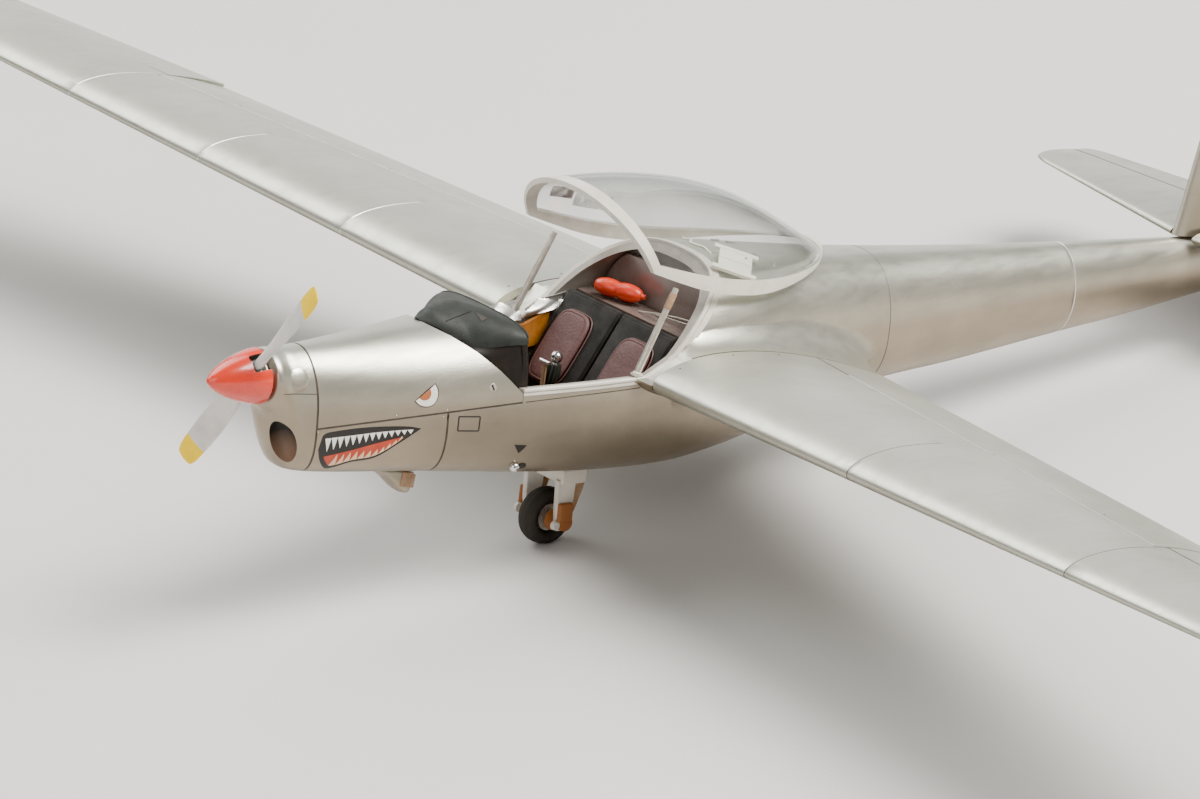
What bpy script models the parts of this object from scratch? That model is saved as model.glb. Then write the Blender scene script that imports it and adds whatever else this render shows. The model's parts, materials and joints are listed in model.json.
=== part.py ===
"""Display model, 1:48, of a side-by-side two-seat touring motor glider on one main wheel.

Every piece is modelled in the aircraft's own axes and then stood on its wheels by one empty:
x to port, y aft from the spinner's tip, z up from the propeller's axis. All sizes are in
millimetres of the model; MM turns them into metres.
"""
import math

import bmesh
import bpy
from mathutils import Matrix, Vector

MM = 0.001
GAP = 0.26                      # engraved seam between two neighbouring pieces
PARKED_PITCH = math.radians(8.65)   # nose up, main wheel and tail wheel both on the ground

# Fuselage stations. Columns: y, half width, height of the widest line, top, bottom,
# squareness of the upper half, squareness of the lower half.
BODY_STATIONS = [
    (7.45, 3.0, -0.4, 2.45, -3.6, 2.0, 2.0),
    (7.6, 3.3, -0.45, 2.7, -3.95, 2.0, 2.0),
    (8.2, 3.55, -0.9, 2.8, -4.9, 2.0, 2.0),
    (8.8, 3.65, -2.0, 2.8, -7.0, 2.0, 2.0),
    (9.5, 3.75, -3.2, 2.8, -9.2, 2.0, 2.1),
    (10.3, 3.95, -4.0, 2.8, -10.6, 2.1, 2.4),
    (11.2, 4.2, -4.4, 2.8, -11.4, 2.1, 2.9),
    (16.0, 5.15, -4.4, 3.05, -12.1, 2.1, 3.1),
    (27.0, 7.4, -4.5, 4.0, -12.85, 2.1, 3.1),
    (37.6, 9.5, -4.6, 5.1, -13.9, 2.3, 2.8),
    (46.0, 11.1, -4.8, 6.5, -14.6, 2.5, 2.7),
    (54.0, 12.1, -5.0, 7.6, -15.0, 2.6, 2.6),
    (62.0, 12.7, -5.0, 8.9, -14.9, 2.8, 2.5),
    (70.0, 12.2, -4.6, 9.0, -13.8, 2.8, 2.4),
    (79.0, 10.0, -3.7, 8.2, -12.5, 2.6, 2.3),
    (88.0, 8.0, -2.7, 7.35, -11.0, 2.4, 2.2),
    (96.0, 6.6, -2.0, 6.65, -9.6, 2.3, 2.1),
    (110.0, 5.3, -1.6, 5.6, -8.4, 2.2, 2.1),
    (125.0, 4.1, -1.2, 4.7, -6.8, 2.1, 2.0),
    (140.0, 2.9, -0.8, 3.9, -5.2, 2.0, 2.0),
    (151.0, 2.0, -0.4, 3.3, -3.7, 2.0, 2.0),
    (158.5, 1.3, -0.2, 2.9, -2.7, 2.0, 2.0),
]
BODY_SIDES = 40
SKIN = 0.9                      # wall of the cockpit shell
CLEARANCE = 0.3                 # between pieces that stand against each other
WELD = 1e-4

# Planes that part the fuselage.
SEAM_LEAN = -0.05               # both upright seams of the cowls lean by this much y for each mm of z
RING_SEAM_Y, LOWER_SEAM_Y = 12.42, 28.45    # nose bowl to cowls, lower cowl to cockpit shell, at z = 0
COWL_SEAM_Y, COWL_SEAM_Z, COWL_SEAM_RISE = 12.0, -5.91, 0.0878   # upper to lower cowl
# The windscreen's foot on the upper cowl: y, z.
SCREEN_FOOT = [(28.3, 4.45), (30.6, 3.36), (32.9, 1.87), (35.2, -0.03), (37.8, -2.6)]
SILL_CORNER_Y = 37.8
SILL_GAP = 0.06                 # the upper cowl meets the sill almost closed
BOOM_START = 94.6
BODY_END = 158.5
SILL_FRONT_Z, SILL_REAR_Y, SILL_REAR_Z = -2.15, 53.5, -1.4
HOOP = [(57.0, 0.5), (60.6, 4.0), (64.6, 7.3), (67.6, 9.8)]     # opening's edge behind the seats
CABIN_FRONT, CABIN_REAR = 32.0, 66.2
BELLY_FLAT_Z = -14.8                # flat under the belly, where a display stand is fastened
# Fairing from the wing's root into the fuselage. Columns: x, rise above the wing, drop below it,
# growth ahead of it, growth behind it.
FAIRING_ROWS = [(14.6, 0.0, 0.0, 0.0, 0.0), (13.8, 0.45, 0.25, 0.5, 0.6), (12.8, 1.3, 0.8, 1.3, 1.8),
                (11.6, 2.7, 1.8, 2.6, 4.0), (10.2, 4.6, 3.0, 4.5, 7.0), (8.0, 6.0, 4.0, 6.0, 10.0)]
FAIRING_POINTS = 12                 # along each skin

# Air intake of the nose bowl, on the port side of its chin
INTAKE_CENTRE, INTAKE_RADII = (2.65, 9.4, -7.75), (1.7, 2.1, 2.8)
INTAKE_YAW, INTAKE_ROLL = math.radians(38), math.radians(-12)
# Scoop under the lower cowl: y, half width, top, bottom.
SCOOP_ROWS = [(24.0, 0.9, -12.95, -13.1), (25.8, 1.5, -13.05, -13.9), (28.4, 1.9, -13.2, -16.1),
              (29.2, 1.9, -13.6, -16.35)]

# Wing
ROOT_X, RIB_X, TIP_X = 14.6, 92.2, 171.0
ROOT_LE, LE_SWEEP = (52.2, -1.3), -0.0874       # leading edge y and z at the root, y for each mm of x
ROOT_CHORD, CHORD_TAPER = 34.8, -0.145
DIHEDRAL = 0.0553
INCIDENCE_ROOT, INCIDENCE_TIP = math.radians(4.2), math.radians(1.5)
WING_THICK_ROOT, WING_THICK_TIP = 0.152, 0.125
WING_CAMBER = 0.034
FLAP_CHORD = 10.4
AILERON_CHORD_ROOT, AILERON_CHORD_TIP = 8.6, 5.0
SKIN_JOINT_X, OUTER_RIB_X = 52.8, 132.0
CHORD_POINTS = 9
FLAP_POINTS = 5
TIP_BODY = (9.5, 1.6)           # half length and radius of the spindle on each wing tip
TIP_BODY_SET = (0.3, 7.5, -0.3)     # beside, behind and below the wing's leading edge at its tip

# Tail
FIN_ROOT_LE, FIN_TIP_LE = (145.1, 3.2), (151.8, 37.4)
FIN_SEAT_Z, FIN_SEAT_FALL = 3.95, 0.052     # the fin's foot follows the top of the boom
RUDDER_HINGE_Y = 158.8
RUDDER_ROOT_TE, RUDDER_TIP_TE = 172.9, 166.6
RUDDER_BOTTOM = -2.6
TAIL_ROOT = (1.9, 146.6, 3.7)      # tailplane leading edge at its root
TAIL_TIP = (35.2, 153.4, 3.1)
TAIL_HINGE = 160.3
TAIL_TIP_TE = 163.4
TAIL_ROOT_TE = 168.0
FIN_THICK, TAIL_THICK = 0.105, 0.11         # shares of the chord
FIN_TIP_ROUNDING, TAIL_TIP_ROUNDING = 1.8, 1.2
RUDDER_FOOT_TAPER = 1.5             # the rudder's trailing edge runs forward to its foot
BLADE_EDGE = 0.16                   # least half thickness of a tail surface aft of its middle

# Propeller
PROP_CENTRE = (0.0, 5.9, -0.35)
PROP_TURN = math.radians(38.6)      # from the vertical towards port
# Spinner: radius, y.
SPINNER_PROFILE = [(0.3, 0.16), (0.93, 0.78), (1.61, 1.8), (2.25, 3.15), (2.72, 4.5), (3.06, 5.85), (3.2, 6.85)]
# Blade: distance from the axis, chord, thickness, twist in degrees.
BLADE_ROWS = [(1.2, 1.9, 1.3, 55), (3.6, 2.1, 1.1, 50), (6.0, 2.6, 0.8, 38), (9.5, 2.95, 0.6, 28),
              (13.0, 2.7, 0.45, 21), (15.4, 2.1, 0.35, 18), (16.25, 1.2, 0.3, 17)]
# Discs about the propeller's axis: from y, to y, radius.
PROP_CORE, SPINNER_ROOM, BACKPLATE = (4.9, 6.5, 1.9), (4.6, 7.9, 2.2), (6.95, 7.22, 2.05)
BLADE_SLOT_RADIUS, BLADE_SLOT_REACH = 1.4, 6.0

# Gear
MAIN_AXLE = (51.2, -21.7)
MAIN_RADIUS, MAIN_WIDTH = 3.4, 2.6
TAIL_AXLE = (158.2, -6.835)
TAIL_RADIUS, TAIL_WIDTH = 2.0, 1.2
OUTRIGGER_X = 122.0
OUTRIGGER_RADIUS, OUTRIGGER_WIDTH = 1.5, 1.0
OUTRIGGER_REACH = 2.6               # the wheel's axle behind the leg's foot
OUTRIGGER_CHORD = 0.42              # share of the wing's chord where the leg stands
OUTRIGGER_BESIDE = 0.35             # the leg's middle outside the wheel
MAIN_HUB_RADIUS, TAIL_HUB_RADIUS, OUTRIGGER_HUB_RADIUS = 1.7, 0.95, 0.7
HUB_CLEARANCE = 0.06                # bonded hub inside its tyre
# Main fork: half width, y ahead of and behind the axle, bottom; then its legs' inner and outer x.
FORK_HALF, FORK_AHEAD, FORK_BEHIND, FORK_BOTTOM = 3.6, 1.0, 2.6, -16.9
FORK_SEAT = 0.28                    # gap under the belly's flat
LEG_X = (2.5, 3.3)
# Legs of the main fork: z, y before and behind the axle's y.
LEG_ROWS = [(-16.4, -0.6, 2.2), (-19.4, -0.5, 1.2), (-22.7, -0.8, 0.8)]
BRAKE_X, BRAKE_RADIUS = (1.5, 2.1), 1.3
STUB_X, STUB_RADIUS = (2.14, 2.6), 0.5
TAIL_FORK_HALF, TAIL_FORK_Z = 1.35, (-4.4, -3.5)
TAIL_POST_AHEAD = 2.2               # the tail fork's post ahead of its axle
TAIL_POST_Y = (-0.7, 0.9)
TAIL_ARM_X = (0.9, 1.3)
# Arms of the tail fork: z, y from the post or the axle.
TAIL_ARM_TOP, TAIL_ARM_LOW = (-3.9, -0.6, 0.8), (-0.5, -0.5, 0.5)

# Canopy, shown raised. Columns: rim y, rim half width, rim z, crown y, crown z.
CANOPY_STATIONS = [
    (52.9, 11.8, 11.0, 49.0, 18.4),
    (57.0, 11.7, 9.5, 54.5, 18.7),
    (61.0, 11.6, 8.2, 60.0, 18.45),
    (65.5, 11.4, 7.2, 66.0, 17.6),
    (70.0, 11.0, 6.7, 71.5, 16.1),
    (74.5, 10.0, 6.8, 76.5, 14.0),
    (78.8, 8.4, 7.2, 80.6, 11.8),
    (82.4, 6.3, 7.6, 83.4, 10.2),
    (84.8, 4.1, 8.0, 85.2, 9.2),
    (86.3, 2.3, 8.25, 86.5, 9.0),
]
CANOPY_THICK = 0.5
CANOPY_FRONT_SHARE, CANOPY_REAR_SHARE, CANOPY_SIDE_SHARE = 0.04, 0.88, 0.055   # painted frame
ARM_BASE, ARM_TOP, ARM_RADIUS = (11.55, 52.4, -0.95), (11.25, 57.0, 8.7), 0.42

# Cockpit
# Hood over the instrument panel: y, half width, foot, crown, squareness.
HOOD_ROWS = [(28.95, 0.6, 4.22, 4.3, 1.6), (29.6, 1.3, 3.95, 4.5, 1.6), (30.4, 2.2, 3.62, 4.85, 1.6),
             (31.4, 3.3, 3.05, 5.35, 1.6), (32.5, 4.4, 2.42, 5.9, 1.6), (33.2, 5.0, 2.05, 6.15, 1.6),
             (34.2, 5.9, 2.1, 6.35, 1.8), (35.5, 7.0, 2.75, 6.25, 2.2), (36.5, 7.9, 3.3, 5.95, 2.7),
             (37.4, 8.6, 3.66, 5.5, 3.0)]
PANEL_OUTLINE = [(33.3, 1.76), (34.2, 1.84), (36.9, 3.2), (36.9, -1.45), (35.2, 0.14)]
PANEL_HALF_WIDTH = 5.6
SEAT_TOP = (59.1, 2.2)
SEAT_LEAN = math.radians(32.0)
SEAT_PITCH_X = 5.65                 # each seat's pads from the middle
SEAT_X, PAN_HALF_WIDTH = (0.15, 9.9), 3.2
SEAT_HEIGHT, SEAT_THICK = 13.87, 1.0
PAN_FRONT_Y, PAN_DROP, PAN_RISE, PAN_OVERLAP = 45.5, 0.2, 0.9, 1.2
# Pads. Back: half width, from and to along the seat's back, nearest and farthest from it.
BACK_PAD_HALF, BACK_PAD_Z, BACK_PAD_Y = 2.9, (-11.6, -2.3), (-1.4, -0.3)
SEAT_PAD_HALF, SEAT_PAD_FRONT_Y, SEAT_PAD_BACK, SEAT_PAD_Z = 3.0, 45.7, 0.9, (1.2, 2.3)
PAD_ROUNDING = 0.4
FLOOR_Y, FLOOR_TOP_Z = (33.0, 65.6), -12.6
BULKHEAD_Y, BULKHEAD_Z = (64.9, 65.7), (-12.3, 6.6)
SHELF_Y, SHELF_Z = (60.9, 64.6), (1.0, 1.6)
# Stick: foot, neck and head, each y, z.
STICK_FOOT, STICK_NECK, STICK_HEAD = (42.6, -12.3), (43.4, -6.6), (43.7, -4.4)
STICK_RADIUS, GRIP_RADIUS = 0.32, 0.5
# Trim on the cabin's walls: y, low edge, high edge; then how far it stands off the wall.
TRIM_ROWS = [(46.0, -5.2, -2.5), (50.0, -5.2, -2.2), (53.2, -5.0, -1.9), (57.0, -4.6, -0.6)]
TRIM_DEPTH = (0.3, 0.8)
CONSOLE_LOW, CONSOLE_HIGH = (-0.8, 43.0, -12.3), (0.8, 51.0, -7.6)
LEVER_FOOT, LEVER_HEAD, LEVER_RADIUS = (0.3, 48.9, -7.9), (0.3, 49.6, -3.4), 0.3
KNOB_CENTRE, KNOB_RADIUS = (0.3, 49.7, -2.3), 0.85
BOTTLE_END, BOTTLE_NECK, BOTTLE_RADIUS = (-7.9, 61.6, 2.95), (-3.2, 63.3, 2.95), 1.05
# White plate lying on the deck's port slope: where its middle stands over the deck, its width,
# length and thickness, its turn about the deck's normal.
DECK_PLATE_MIDDLE, DECK_PLATE_SIZE = (5.75, 70.2, 8.95), (5.35, 6.45, 0.4)
DECK_NORMAL, DECK_PLATE_TURN = (0.248, 0.071, 0.966), math.radians(49.6)

# Colours: base colour, roughness, metallic
PAINTS = {
    "silver": ((0.62, 0.61, 0.58, 1), 0.32, 0.75),
    "dark_gap": ((0.03, 0.03, 0.03, 1), 0.6, 0.0),
    "red": ((0.62, 0.03, 0.02, 1), 0.3, 0.0),
    "white": ((0.8, 0.79, 0.77, 1), 0.35, 0.0),
    "black": ((0.02, 0.022, 0.022, 1), 0.55, 0.0),
    "mauve": ((0.2, 0.11, 0.11, 1), 0.7, 0.0),
    "clear": ((0.85, 0.9, 0.9, 1), 0.05, 0.0),
    "rubber": ((0.03, 0.027, 0.025, 1), 0.75, 0.0),
    "steel": ((0.6, 0.6, 0.6, 1), 0.25, 1.0),
    "rust": ((0.3, 0.1, 0.03, 1), 0.6, 0.2),
    "wood": ((0.45, 0.17, 0.03, 1), 0.5, 0.0),
    "grey": ((0.3, 0.3, 0.29, 1), 0.5, 0.0),
}


def clear_scene():
    """Remove what the file opened with."""
    for item in list(bpy.data.objects):
        bpy.data.objects.remove(item)


def paint(name):
    """Return the named material, made on first use."""
    found = bpy.data.materials.get(name)
    if found:
        return found
    colour, roughness, metallic = PAINTS[name]
    made = bpy.data.materials.new(name)
    made.use_nodes = True
    shader = made.node_tree.nodes["Principled BSDF"]
    shader.inputs["Base Color"].default_value = colour
    shader.inputs["Roughness"].default_value = roughness
    shader.inputs["Metallic"].default_value = metallic
    return made


clear_scene()
MODEL = bpy.data.collections.new("touring_motor_glider")
CUTTERS = bpy.data.collections.new("cutters")
for folder in (MODEL, CUTTERS):
    bpy.context.scene.collection.children.link(folder)
STANCE = bpy.data.objects.new("parked_stance", None)
STANCE.rotation_euler = (-PARKED_PITCH, 0.0, 0.0)
MODEL.objects.link(STANCE)


def mesh_object(name, mesh_parts, colour, origin=(0, 0, 0), parent=None, cutter=False):
    """Turn a bmesh in millimetres into an object whose origin is at origin."""
    bmesh.ops.recalc_face_normals(mesh_parts, faces=mesh_parts.faces)
    for vert in mesh_parts.verts:
        vert.co = (vert.co - Vector(origin)) * MM
    mesh = bpy.data.meshes.new(name)
    mesh_parts.to_mesh(mesh)
    mesh_parts.free()
    mesh.shade_smooth()
    mesh.set_sharp_from_angle(angle=math.radians(35))
    made = bpy.data.objects.new(name, mesh)
    made.location = Vector(origin) * MM
    made.parent = parent or STANCE
    if cutter:
        made.hide_render = True
        made.display_type = "WIRE"
        CUTTERS.objects.link(made)
    else:
        mesh.materials.append(paint(colour))
        MODEL.objects.link(made)
    return made


def cut(target, tool, operation="DIFFERENCE"):
    """Add an exact Boolean of tool to target."""
    step = target.modifiers.new(operation.lower() + "_" + tool.name, "BOOLEAN")
    step.object = tool
    step.operation = operation
    step.solver = "EXACT"


def lerp(a, b, t):
    """Mix two numbers."""
    return a + (b - a) * t


def smooth_row(rows, key):
    """Read a table at key (its first column) on a smooth curve through its rows."""
    for i in range(len(rows) - 1):
        if key <= rows[i + 1][0] or i == len(rows) - 2:
            break
    before, start, end, after = rows[max(i - 1, 0)], rows[i], rows[i + 1], rows[min(i + 2, len(rows) - 1)]
    width = end[0] - start[0]
    t = (key - start[0]) / width
    result = []
    for column in range(1, len(start)):
        slope_in = (end[column] - before[column]) / (end[0] - before[0])
        slope_out = (after[column] - start[column]) / (after[0] - start[0])
        t2, t3 = t * t, t * t * t
        result.append((2 * t3 - 3 * t2 + 1) * start[column] + (t3 - 2 * t2 + t) * width * slope_in
                      + (3 * t2 - 2 * t3) * end[column] + (t3 - t2) * width * slope_out)
    return result


def body_section(y, inset=0.0, sides=BODY_SIDES):
    """Points around the fuselage at station y, drawn in by inset."""
    half, side_z, top, bottom, n_top, n_bottom = smooth_row(BODY_STATIONS, y)
    half -= inset
    points = []
    for k in range(sides):
        angle = 2 * math.pi * (k + 0.5) / sides
        c, s = math.cos(angle), math.sin(angle)
        power = 2.0 / (n_top if s >= 0 else n_bottom)
        reach = (top - inset - side_z) if s >= 0 else (side_z - bottom - inset)
        points.append(Vector((math.copysign(half * abs(c) ** power, c), y,
                              side_z + math.copysign(reach * abs(s) ** power, s))))
    return points


def body_half(y, z, inset=0.0):
    """Half width of the fuselage at station y and height z."""
    half, side_z, top, bottom, n_top, n_bottom = smooth_row(BODY_STATIONS, y)
    power = n_top if z >= side_z else n_bottom
    reach = (top - inset - side_z) if z >= side_z else (side_z - bottom - inset)
    return (half - inset) * (1 - min(abs(z - side_z) / reach, 1.0) ** power) ** (1 / power)


def loft(rings, mesh=None, closed_ends=True):
    """Skin a row of rings that have the same number of points."""
    mesh = mesh or bmesh.new()
    made = [[mesh.verts.new(p) for p in ring] for ring in rings]
    count = len(made[0])
    for a, b in zip(made, made[1:]):
        for k in range(count):
            mesh.faces.new((a[k], a[(k + 1) % count], b[(k + 1) % count], b[k]))
    if closed_ends:
        mesh.faces.new(made[0])
        mesh.faces.new(made[-1])
    return mesh


def body_block(y_from, y_to, steps, inset=0.0):
    """Solid length of fuselage."""
    return loft([body_section(lerp(y_from, y_to, k / steps), inset) for k in range(steps + 1)])


def keep_side(mesh, point, normal):
    """Cut a closed mesh by a plane, keep what lies behind the normal and close the cut."""
    bmesh.ops.bisect_plane(mesh, geom=mesh.verts[:] + mesh.edges[:] + mesh.faces[:], dist=1e-5,
                           plane_co=point, plane_no=normal, clear_outer=True)
    rim = [edge for edge in mesh.edges if edge.is_boundary]
    bmesh.ops.contextual_create(mesh, geom=rim)


def prism(outline, half_width):
    """A (y, z) outline carried across the model."""
    mesh = bmesh.new()
    loops = [[mesh.verts.new((x, y, z)) for y, z in outline] for x in (-half_width, half_width)]
    mesh.faces.new(loops[0])
    mesh.faces.new(loops[1])
    count = len(outline)
    for k in range(count):
        mesh.faces.new((loops[0][k], loops[0][(k + 1) % count], loops[1][(k + 1) % count], loops[1][k]))
    return mesh


def box_mesh(low, high, mesh=None):
    """Box between two corners."""
    mesh = mesh or bmesh.new()
    size = [b - a for a, b in zip(low, high)]
    middle = [(a + b) / 2 for a, b in zip(low, high)]
    bmesh.ops.create_cube(mesh, size=1.0, matrix=Matrix.Translation(middle) @ Matrix.Diagonal((*size, 1)))
    return mesh


def round_bar(mesh, start, end, radius, sides=12, end_radius=None):
    """Cylinder or cone from start to end."""
    start, end = Vector(start), Vector(end)
    axis = end - start
    turn = axis.to_track_quat("Z", "Y").to_matrix().to_4x4()
    bmesh.ops.create_cone(mesh, cap_ends=True, cap_tris=False, segments=sides, radius1=radius,
                          radius2=radius if end_radius is None else end_radius, depth=axis.length,
                          matrix=Matrix.Translation((start + end) / 2) @ turn)
    return mesh


def turned(profile, centre, axis="X", sides=32, ring=False):
    """Turn (radius, place along the axis) points about an axis; a ring's profile closes on itself."""
    along, out = Vector((1, 0, 0)), Vector((0, 1, 0))
    if axis == "Y":
        along, out = out, along
    mesh = bmesh.new()
    line = [mesh.verts.new(Vector(centre) + out * radius + along * place) for radius, place in profile]
    edges = [mesh.edges.new(pair) for pair in zip(line, line[1:])]
    if ring:
        edges.append(mesh.edges.new((line[-1], line[0])))
    bmesh.ops.spin(mesh, geom=line + edges, cent=centre, axis=along, angle=2 * math.pi, steps=sides,
                   use_merge=True)
    bmesh.ops.remove_doubles(mesh, verts=mesh.verts, dist=WELD)
    bmesh.ops.holes_fill(mesh, edges=[edge for edge in mesh.edges if edge.is_boundary], sides=0)
    return mesh


def upright_seam(y):
    """Point and aft-facing normal of a cowl's upright seam that crosses z = 0 at y."""
    return Vector((0, y, 0)), Vector((0, 1, -SEAM_LEAN)).normalized()


def cowl_seam_z(y):
    """Height of the seam between the cowls at station y."""
    return COWL_SEAM_Z + COWL_SEAM_RISE * (y - COWL_SEAM_Y)


def build_nose():
    """Nose bowl with its air intake, both cowls and the scoop."""
    bowl = loft([body_section(row[0]) for row in BODY_STATIONS[:7]] + [body_section(y) for y in (12.0, 13.0, 14.0)])
    keep_side(bowl, *upright_seam(RING_SEAM_Y - GAP / 2))
    bowl = mesh_object("nose_bowl", bowl, "silver")
    pocket = bmesh.new()
    bmesh.ops.create_uvsphere(pocket, u_segments=24, v_segments=14, radius=1.0, matrix=(
        Matrix.Translation(INTAKE_CENTRE) @ Matrix.Rotation(INTAKE_YAW, 4, "Z") @ Matrix.Rotation(INTAKE_ROLL, 4, "Y")
        @ Matrix.Diagonal((*INTAKE_RADII, 1))))
    cut(bowl, mesh_object("intake_cutter", pocket, None, cutter=True))

    ring_point, ring_normal = upright_seam(RING_SEAM_Y + GAP / 2)
    seam_up = Vector((0, -COWL_SEAM_RISE, 1)).normalized()
    upper = body_block(11.2, 39.0, 14)
    keep_side(upper, ring_point, -ring_normal)
    keep_side(upper, Vector((0, COWL_SEAM_Y, COWL_SEAM_Z + GAP / 2)), -seam_up)
    for (y, z), (next_y, next_z) in zip(SCREEN_FOOT, SCREEN_FOOT[1:]):
        keep_side(upper, Vector((0, y, z)), Vector((0, z - next_z, next_y - y)).normalized())
    keep_side(upper, Vector((0, SILL_CORNER_Y, 0)), Vector((0, 1, 0)))
    mesh_object("upper_cowl", upper, "silver")

    lower = body_block(11.2, 31.0, 10)
    keep_side(lower, ring_point, -ring_normal)
    keep_side(lower, *upright_seam(LOWER_SEAM_Y - GAP / 2))
    keep_side(lower, Vector((0, COWL_SEAM_Y, COWL_SEAM_Z - GAP / 2)), seam_up)
    mesh_object("lower_cowl", lower, "silver")

    scoop = loft([[Vector((-w, y, top)), Vector((w, y, top)), Vector((w, y, lerp(top, low, 0.7))),
                   Vector((w * 0.6, y, low)), Vector((-w * 0.6, y, low)), Vector((-w, y, lerp(top, low, 0.7)))]
                  for y, w, top, low in SCOOP_ROWS])
    mesh_object("exhaust_scoop", scoop, "silver")


def wing_le(x):
    """Leading edge point of the port wing."""
    return Vector((x, ROOT_LE[0] + LE_SWEEP * (x - ROOT_X), ROOT_LE[1] + DIHEDRAL * (x - ROOT_X)))


def wing_chord(x):
    """Chord at span place x."""
    return ROOT_CHORD + CHORD_TAPER * (x - ROOT_X)


def foil(fraction, thick, camber):
    """Upper and lower height of the aerofoil, as shares of its chord, at a share of its chord."""
    f = max(fraction, 0.0)
    half = 5 * thick * (0.2969 * math.sqrt(f) - 0.126 * f - 0.3516 * f ** 2 + 0.2843 * f ** 3 - 0.0936 * f ** 4)
    line = 4 * camber * f * (1 - f)
    return line + half, line - half


def wing_point(x, fraction, upper):
    """Point of the port wing's skin."""
    share = (x - ROOT_X) / (TIP_X - ROOT_X)
    thick = lerp(WING_THICK_ROOT, WING_THICK_TIP, share)
    high, low = foil(fraction, thick, WING_CAMBER)
    chord = wing_chord(x)
    height = (high if upper else low) * chord
    tilt = lerp(INCIDENCE_ROOT, INCIDENCE_TIP, share)
    along = fraction * chord
    return wing_le(x) + Vector((0, along * math.cos(tilt) + height * math.sin(tilt),
                                -along * math.sin(tilt) + height * math.cos(tilt)))


def foil_ring(x, start, end, point=wing_point, count=CHORD_POINTS):
    """Ring round a slice of aerofoil between two shares of its chord."""
    shares = [start + (end - start) * (1 - math.cos(math.pi * k / count)) / 2 for k in range(count + 1)]
    upper = [point(x, f, True) for f in shares]
    lower = [point(x, f, False) for f in reversed(shares)]
    if start == 0.0:
        lower = lower[:-1]
    return upper + lower


def mirrored(mesh_parts, side):
    """Flip a port mesh to starboard when side is -1."""
    if side < 0:
        bmesh.ops.scale(mesh_parts, vec=(-1, 1, 1), verts=mesh_parts.verts)
    return mesh_parts


def hinge_share(x, aileron):
    """Share of the chord where the flap or the aileron starts."""
    span = (x - RIB_X) / (TIP_X - RIB_X)
    depth = lerp(AILERON_CHORD_ROOT, AILERON_CHORD_TIP, span) if aileron else FLAP_CHORD
    return 1 - depth / wing_chord(x)


def build_wings():
    """Wing, flap, aileron and tip body on each side."""
    for side, word in ((1, "port"), (-1, "starboard")):
        rings = [foil_ring(x, 0.0, hinge_share(x, False) - GAP / wing_chord(x))
                 for x in (ROOT_X + GAP, SKIN_JOINT_X, RIB_X - 0.01)]
        rings += [foil_ring(x, 0.0, hinge_share(x, True) - GAP / wing_chord(x))
                  for x in (RIB_X + 0.01, OUTER_RIB_X, TIP_X)]
        mesh_object("wing_" + word, mirrored(loft(rings), side), "silver")
        flap = loft([foil_ring(x, hinge_share(x, False), 1.0, count=FLAP_POINTS)
                     for x in (ROOT_X + GAP, SKIN_JOINT_X, RIB_X - GAP / 2)])
        mesh_object("flap_" + word, mirrored(flap, side), "silver")
        aileron = loft([foil_ring(x, hinge_share(x, True), 1.0, count=FLAP_POINTS)
                        for x in (RIB_X + GAP / 2, OUTER_RIB_X, TIP_X - GAP)])
        mesh_object("aileron_" + word, mirrored(aileron, side), "silver")
        half_length, radius = TIP_BODY
        beside, behind, below = TIP_BODY_SET
        middle = wing_le(TIP_X) + Vector((radius + beside, behind, below))
        profile = [(radius * math.sin(math.pi * k / 12) ** 0.8 + 0.15, -half_length * math.cos(math.pi * k / 12))
                   for k in range(13)]
        tip = turned(profile, middle, axis="Y", sides=16)
        mesh_object("wing_tip_" + word, mirrored(tip, side), "silver")


def build_shell():
    """Hollow cockpit shell with the wing fillets, and the tail boom."""
    shell = body_block(28.0, BOOM_START - GAP / 2, 24)
    seam_point, seam_normal = upright_seam(LOWER_SEAM_Y + GAP / 2)
    keep_side(shell, seam_point, -seam_normal)
    keep_side(shell, Vector((0, 0, BELLY_FLAT_Z)), Vector((0, 0, -1)))
    shell = mesh_object("cockpit_shell", shell, "silver")
    for side, word in ((1, "port"), (-1, "starboard")):
        rings = []
        for x, rise, drop, ahead, behind in FAIRING_ROWS:
            ring = []
            for k in range(2 * FAIRING_POINTS):
                upper = k < FAIRING_POINTS
                j = k if upper else 2 * FAIRING_POINTS - k
                f = (1 - math.cos(math.pi * j / FAIRING_POINTS)) / 2
                p = wing_point(ROOT_X, f, upper)
                hump = math.sin(math.pi * min(max(f, 0.02), 0.98)) ** 0.6
                stretch = lerp(-ahead, behind, f)
                lift = rise * hump if upper else -drop * hump
                ring.append(Vector((x, p.y + stretch, p.z + lift)))
            rings.append(ring)
        fillet = mirrored(loft(rings), side)
        cut(shell, mesh_object("fillet_" + word, fillet, None, cutter=True), "UNION")
    cavity = body_block(CABIN_FRONT, CABIN_REAR, 16, SKIN)
    cut(shell, mesh_object("cabin_cutter", cavity, None, cutter=True))
    front, corner, over = LOWER_SEAM_Y - 2.0, SILL_CORNER_Y + SILL_GAP, 30.0
    outline = [(front, cowl_seam_z(front) - GAP / 2), (corner, cowl_seam_z(corner) - GAP / 2),
               (corner, SILL_FRONT_Z), (SILL_REAR_Y, SILL_REAR_Z)] + HOOP
    outline += [(HOOP[-1][0], over), (front, over)]
    cut(shell, mesh_object("opening_cutter", prism(outline, over), None, cutter=True))

    boom = body_block(BOOM_START + GAP / 2, BODY_END, 14)
    mesh_object("tail_boom", boom, "silver")


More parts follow.
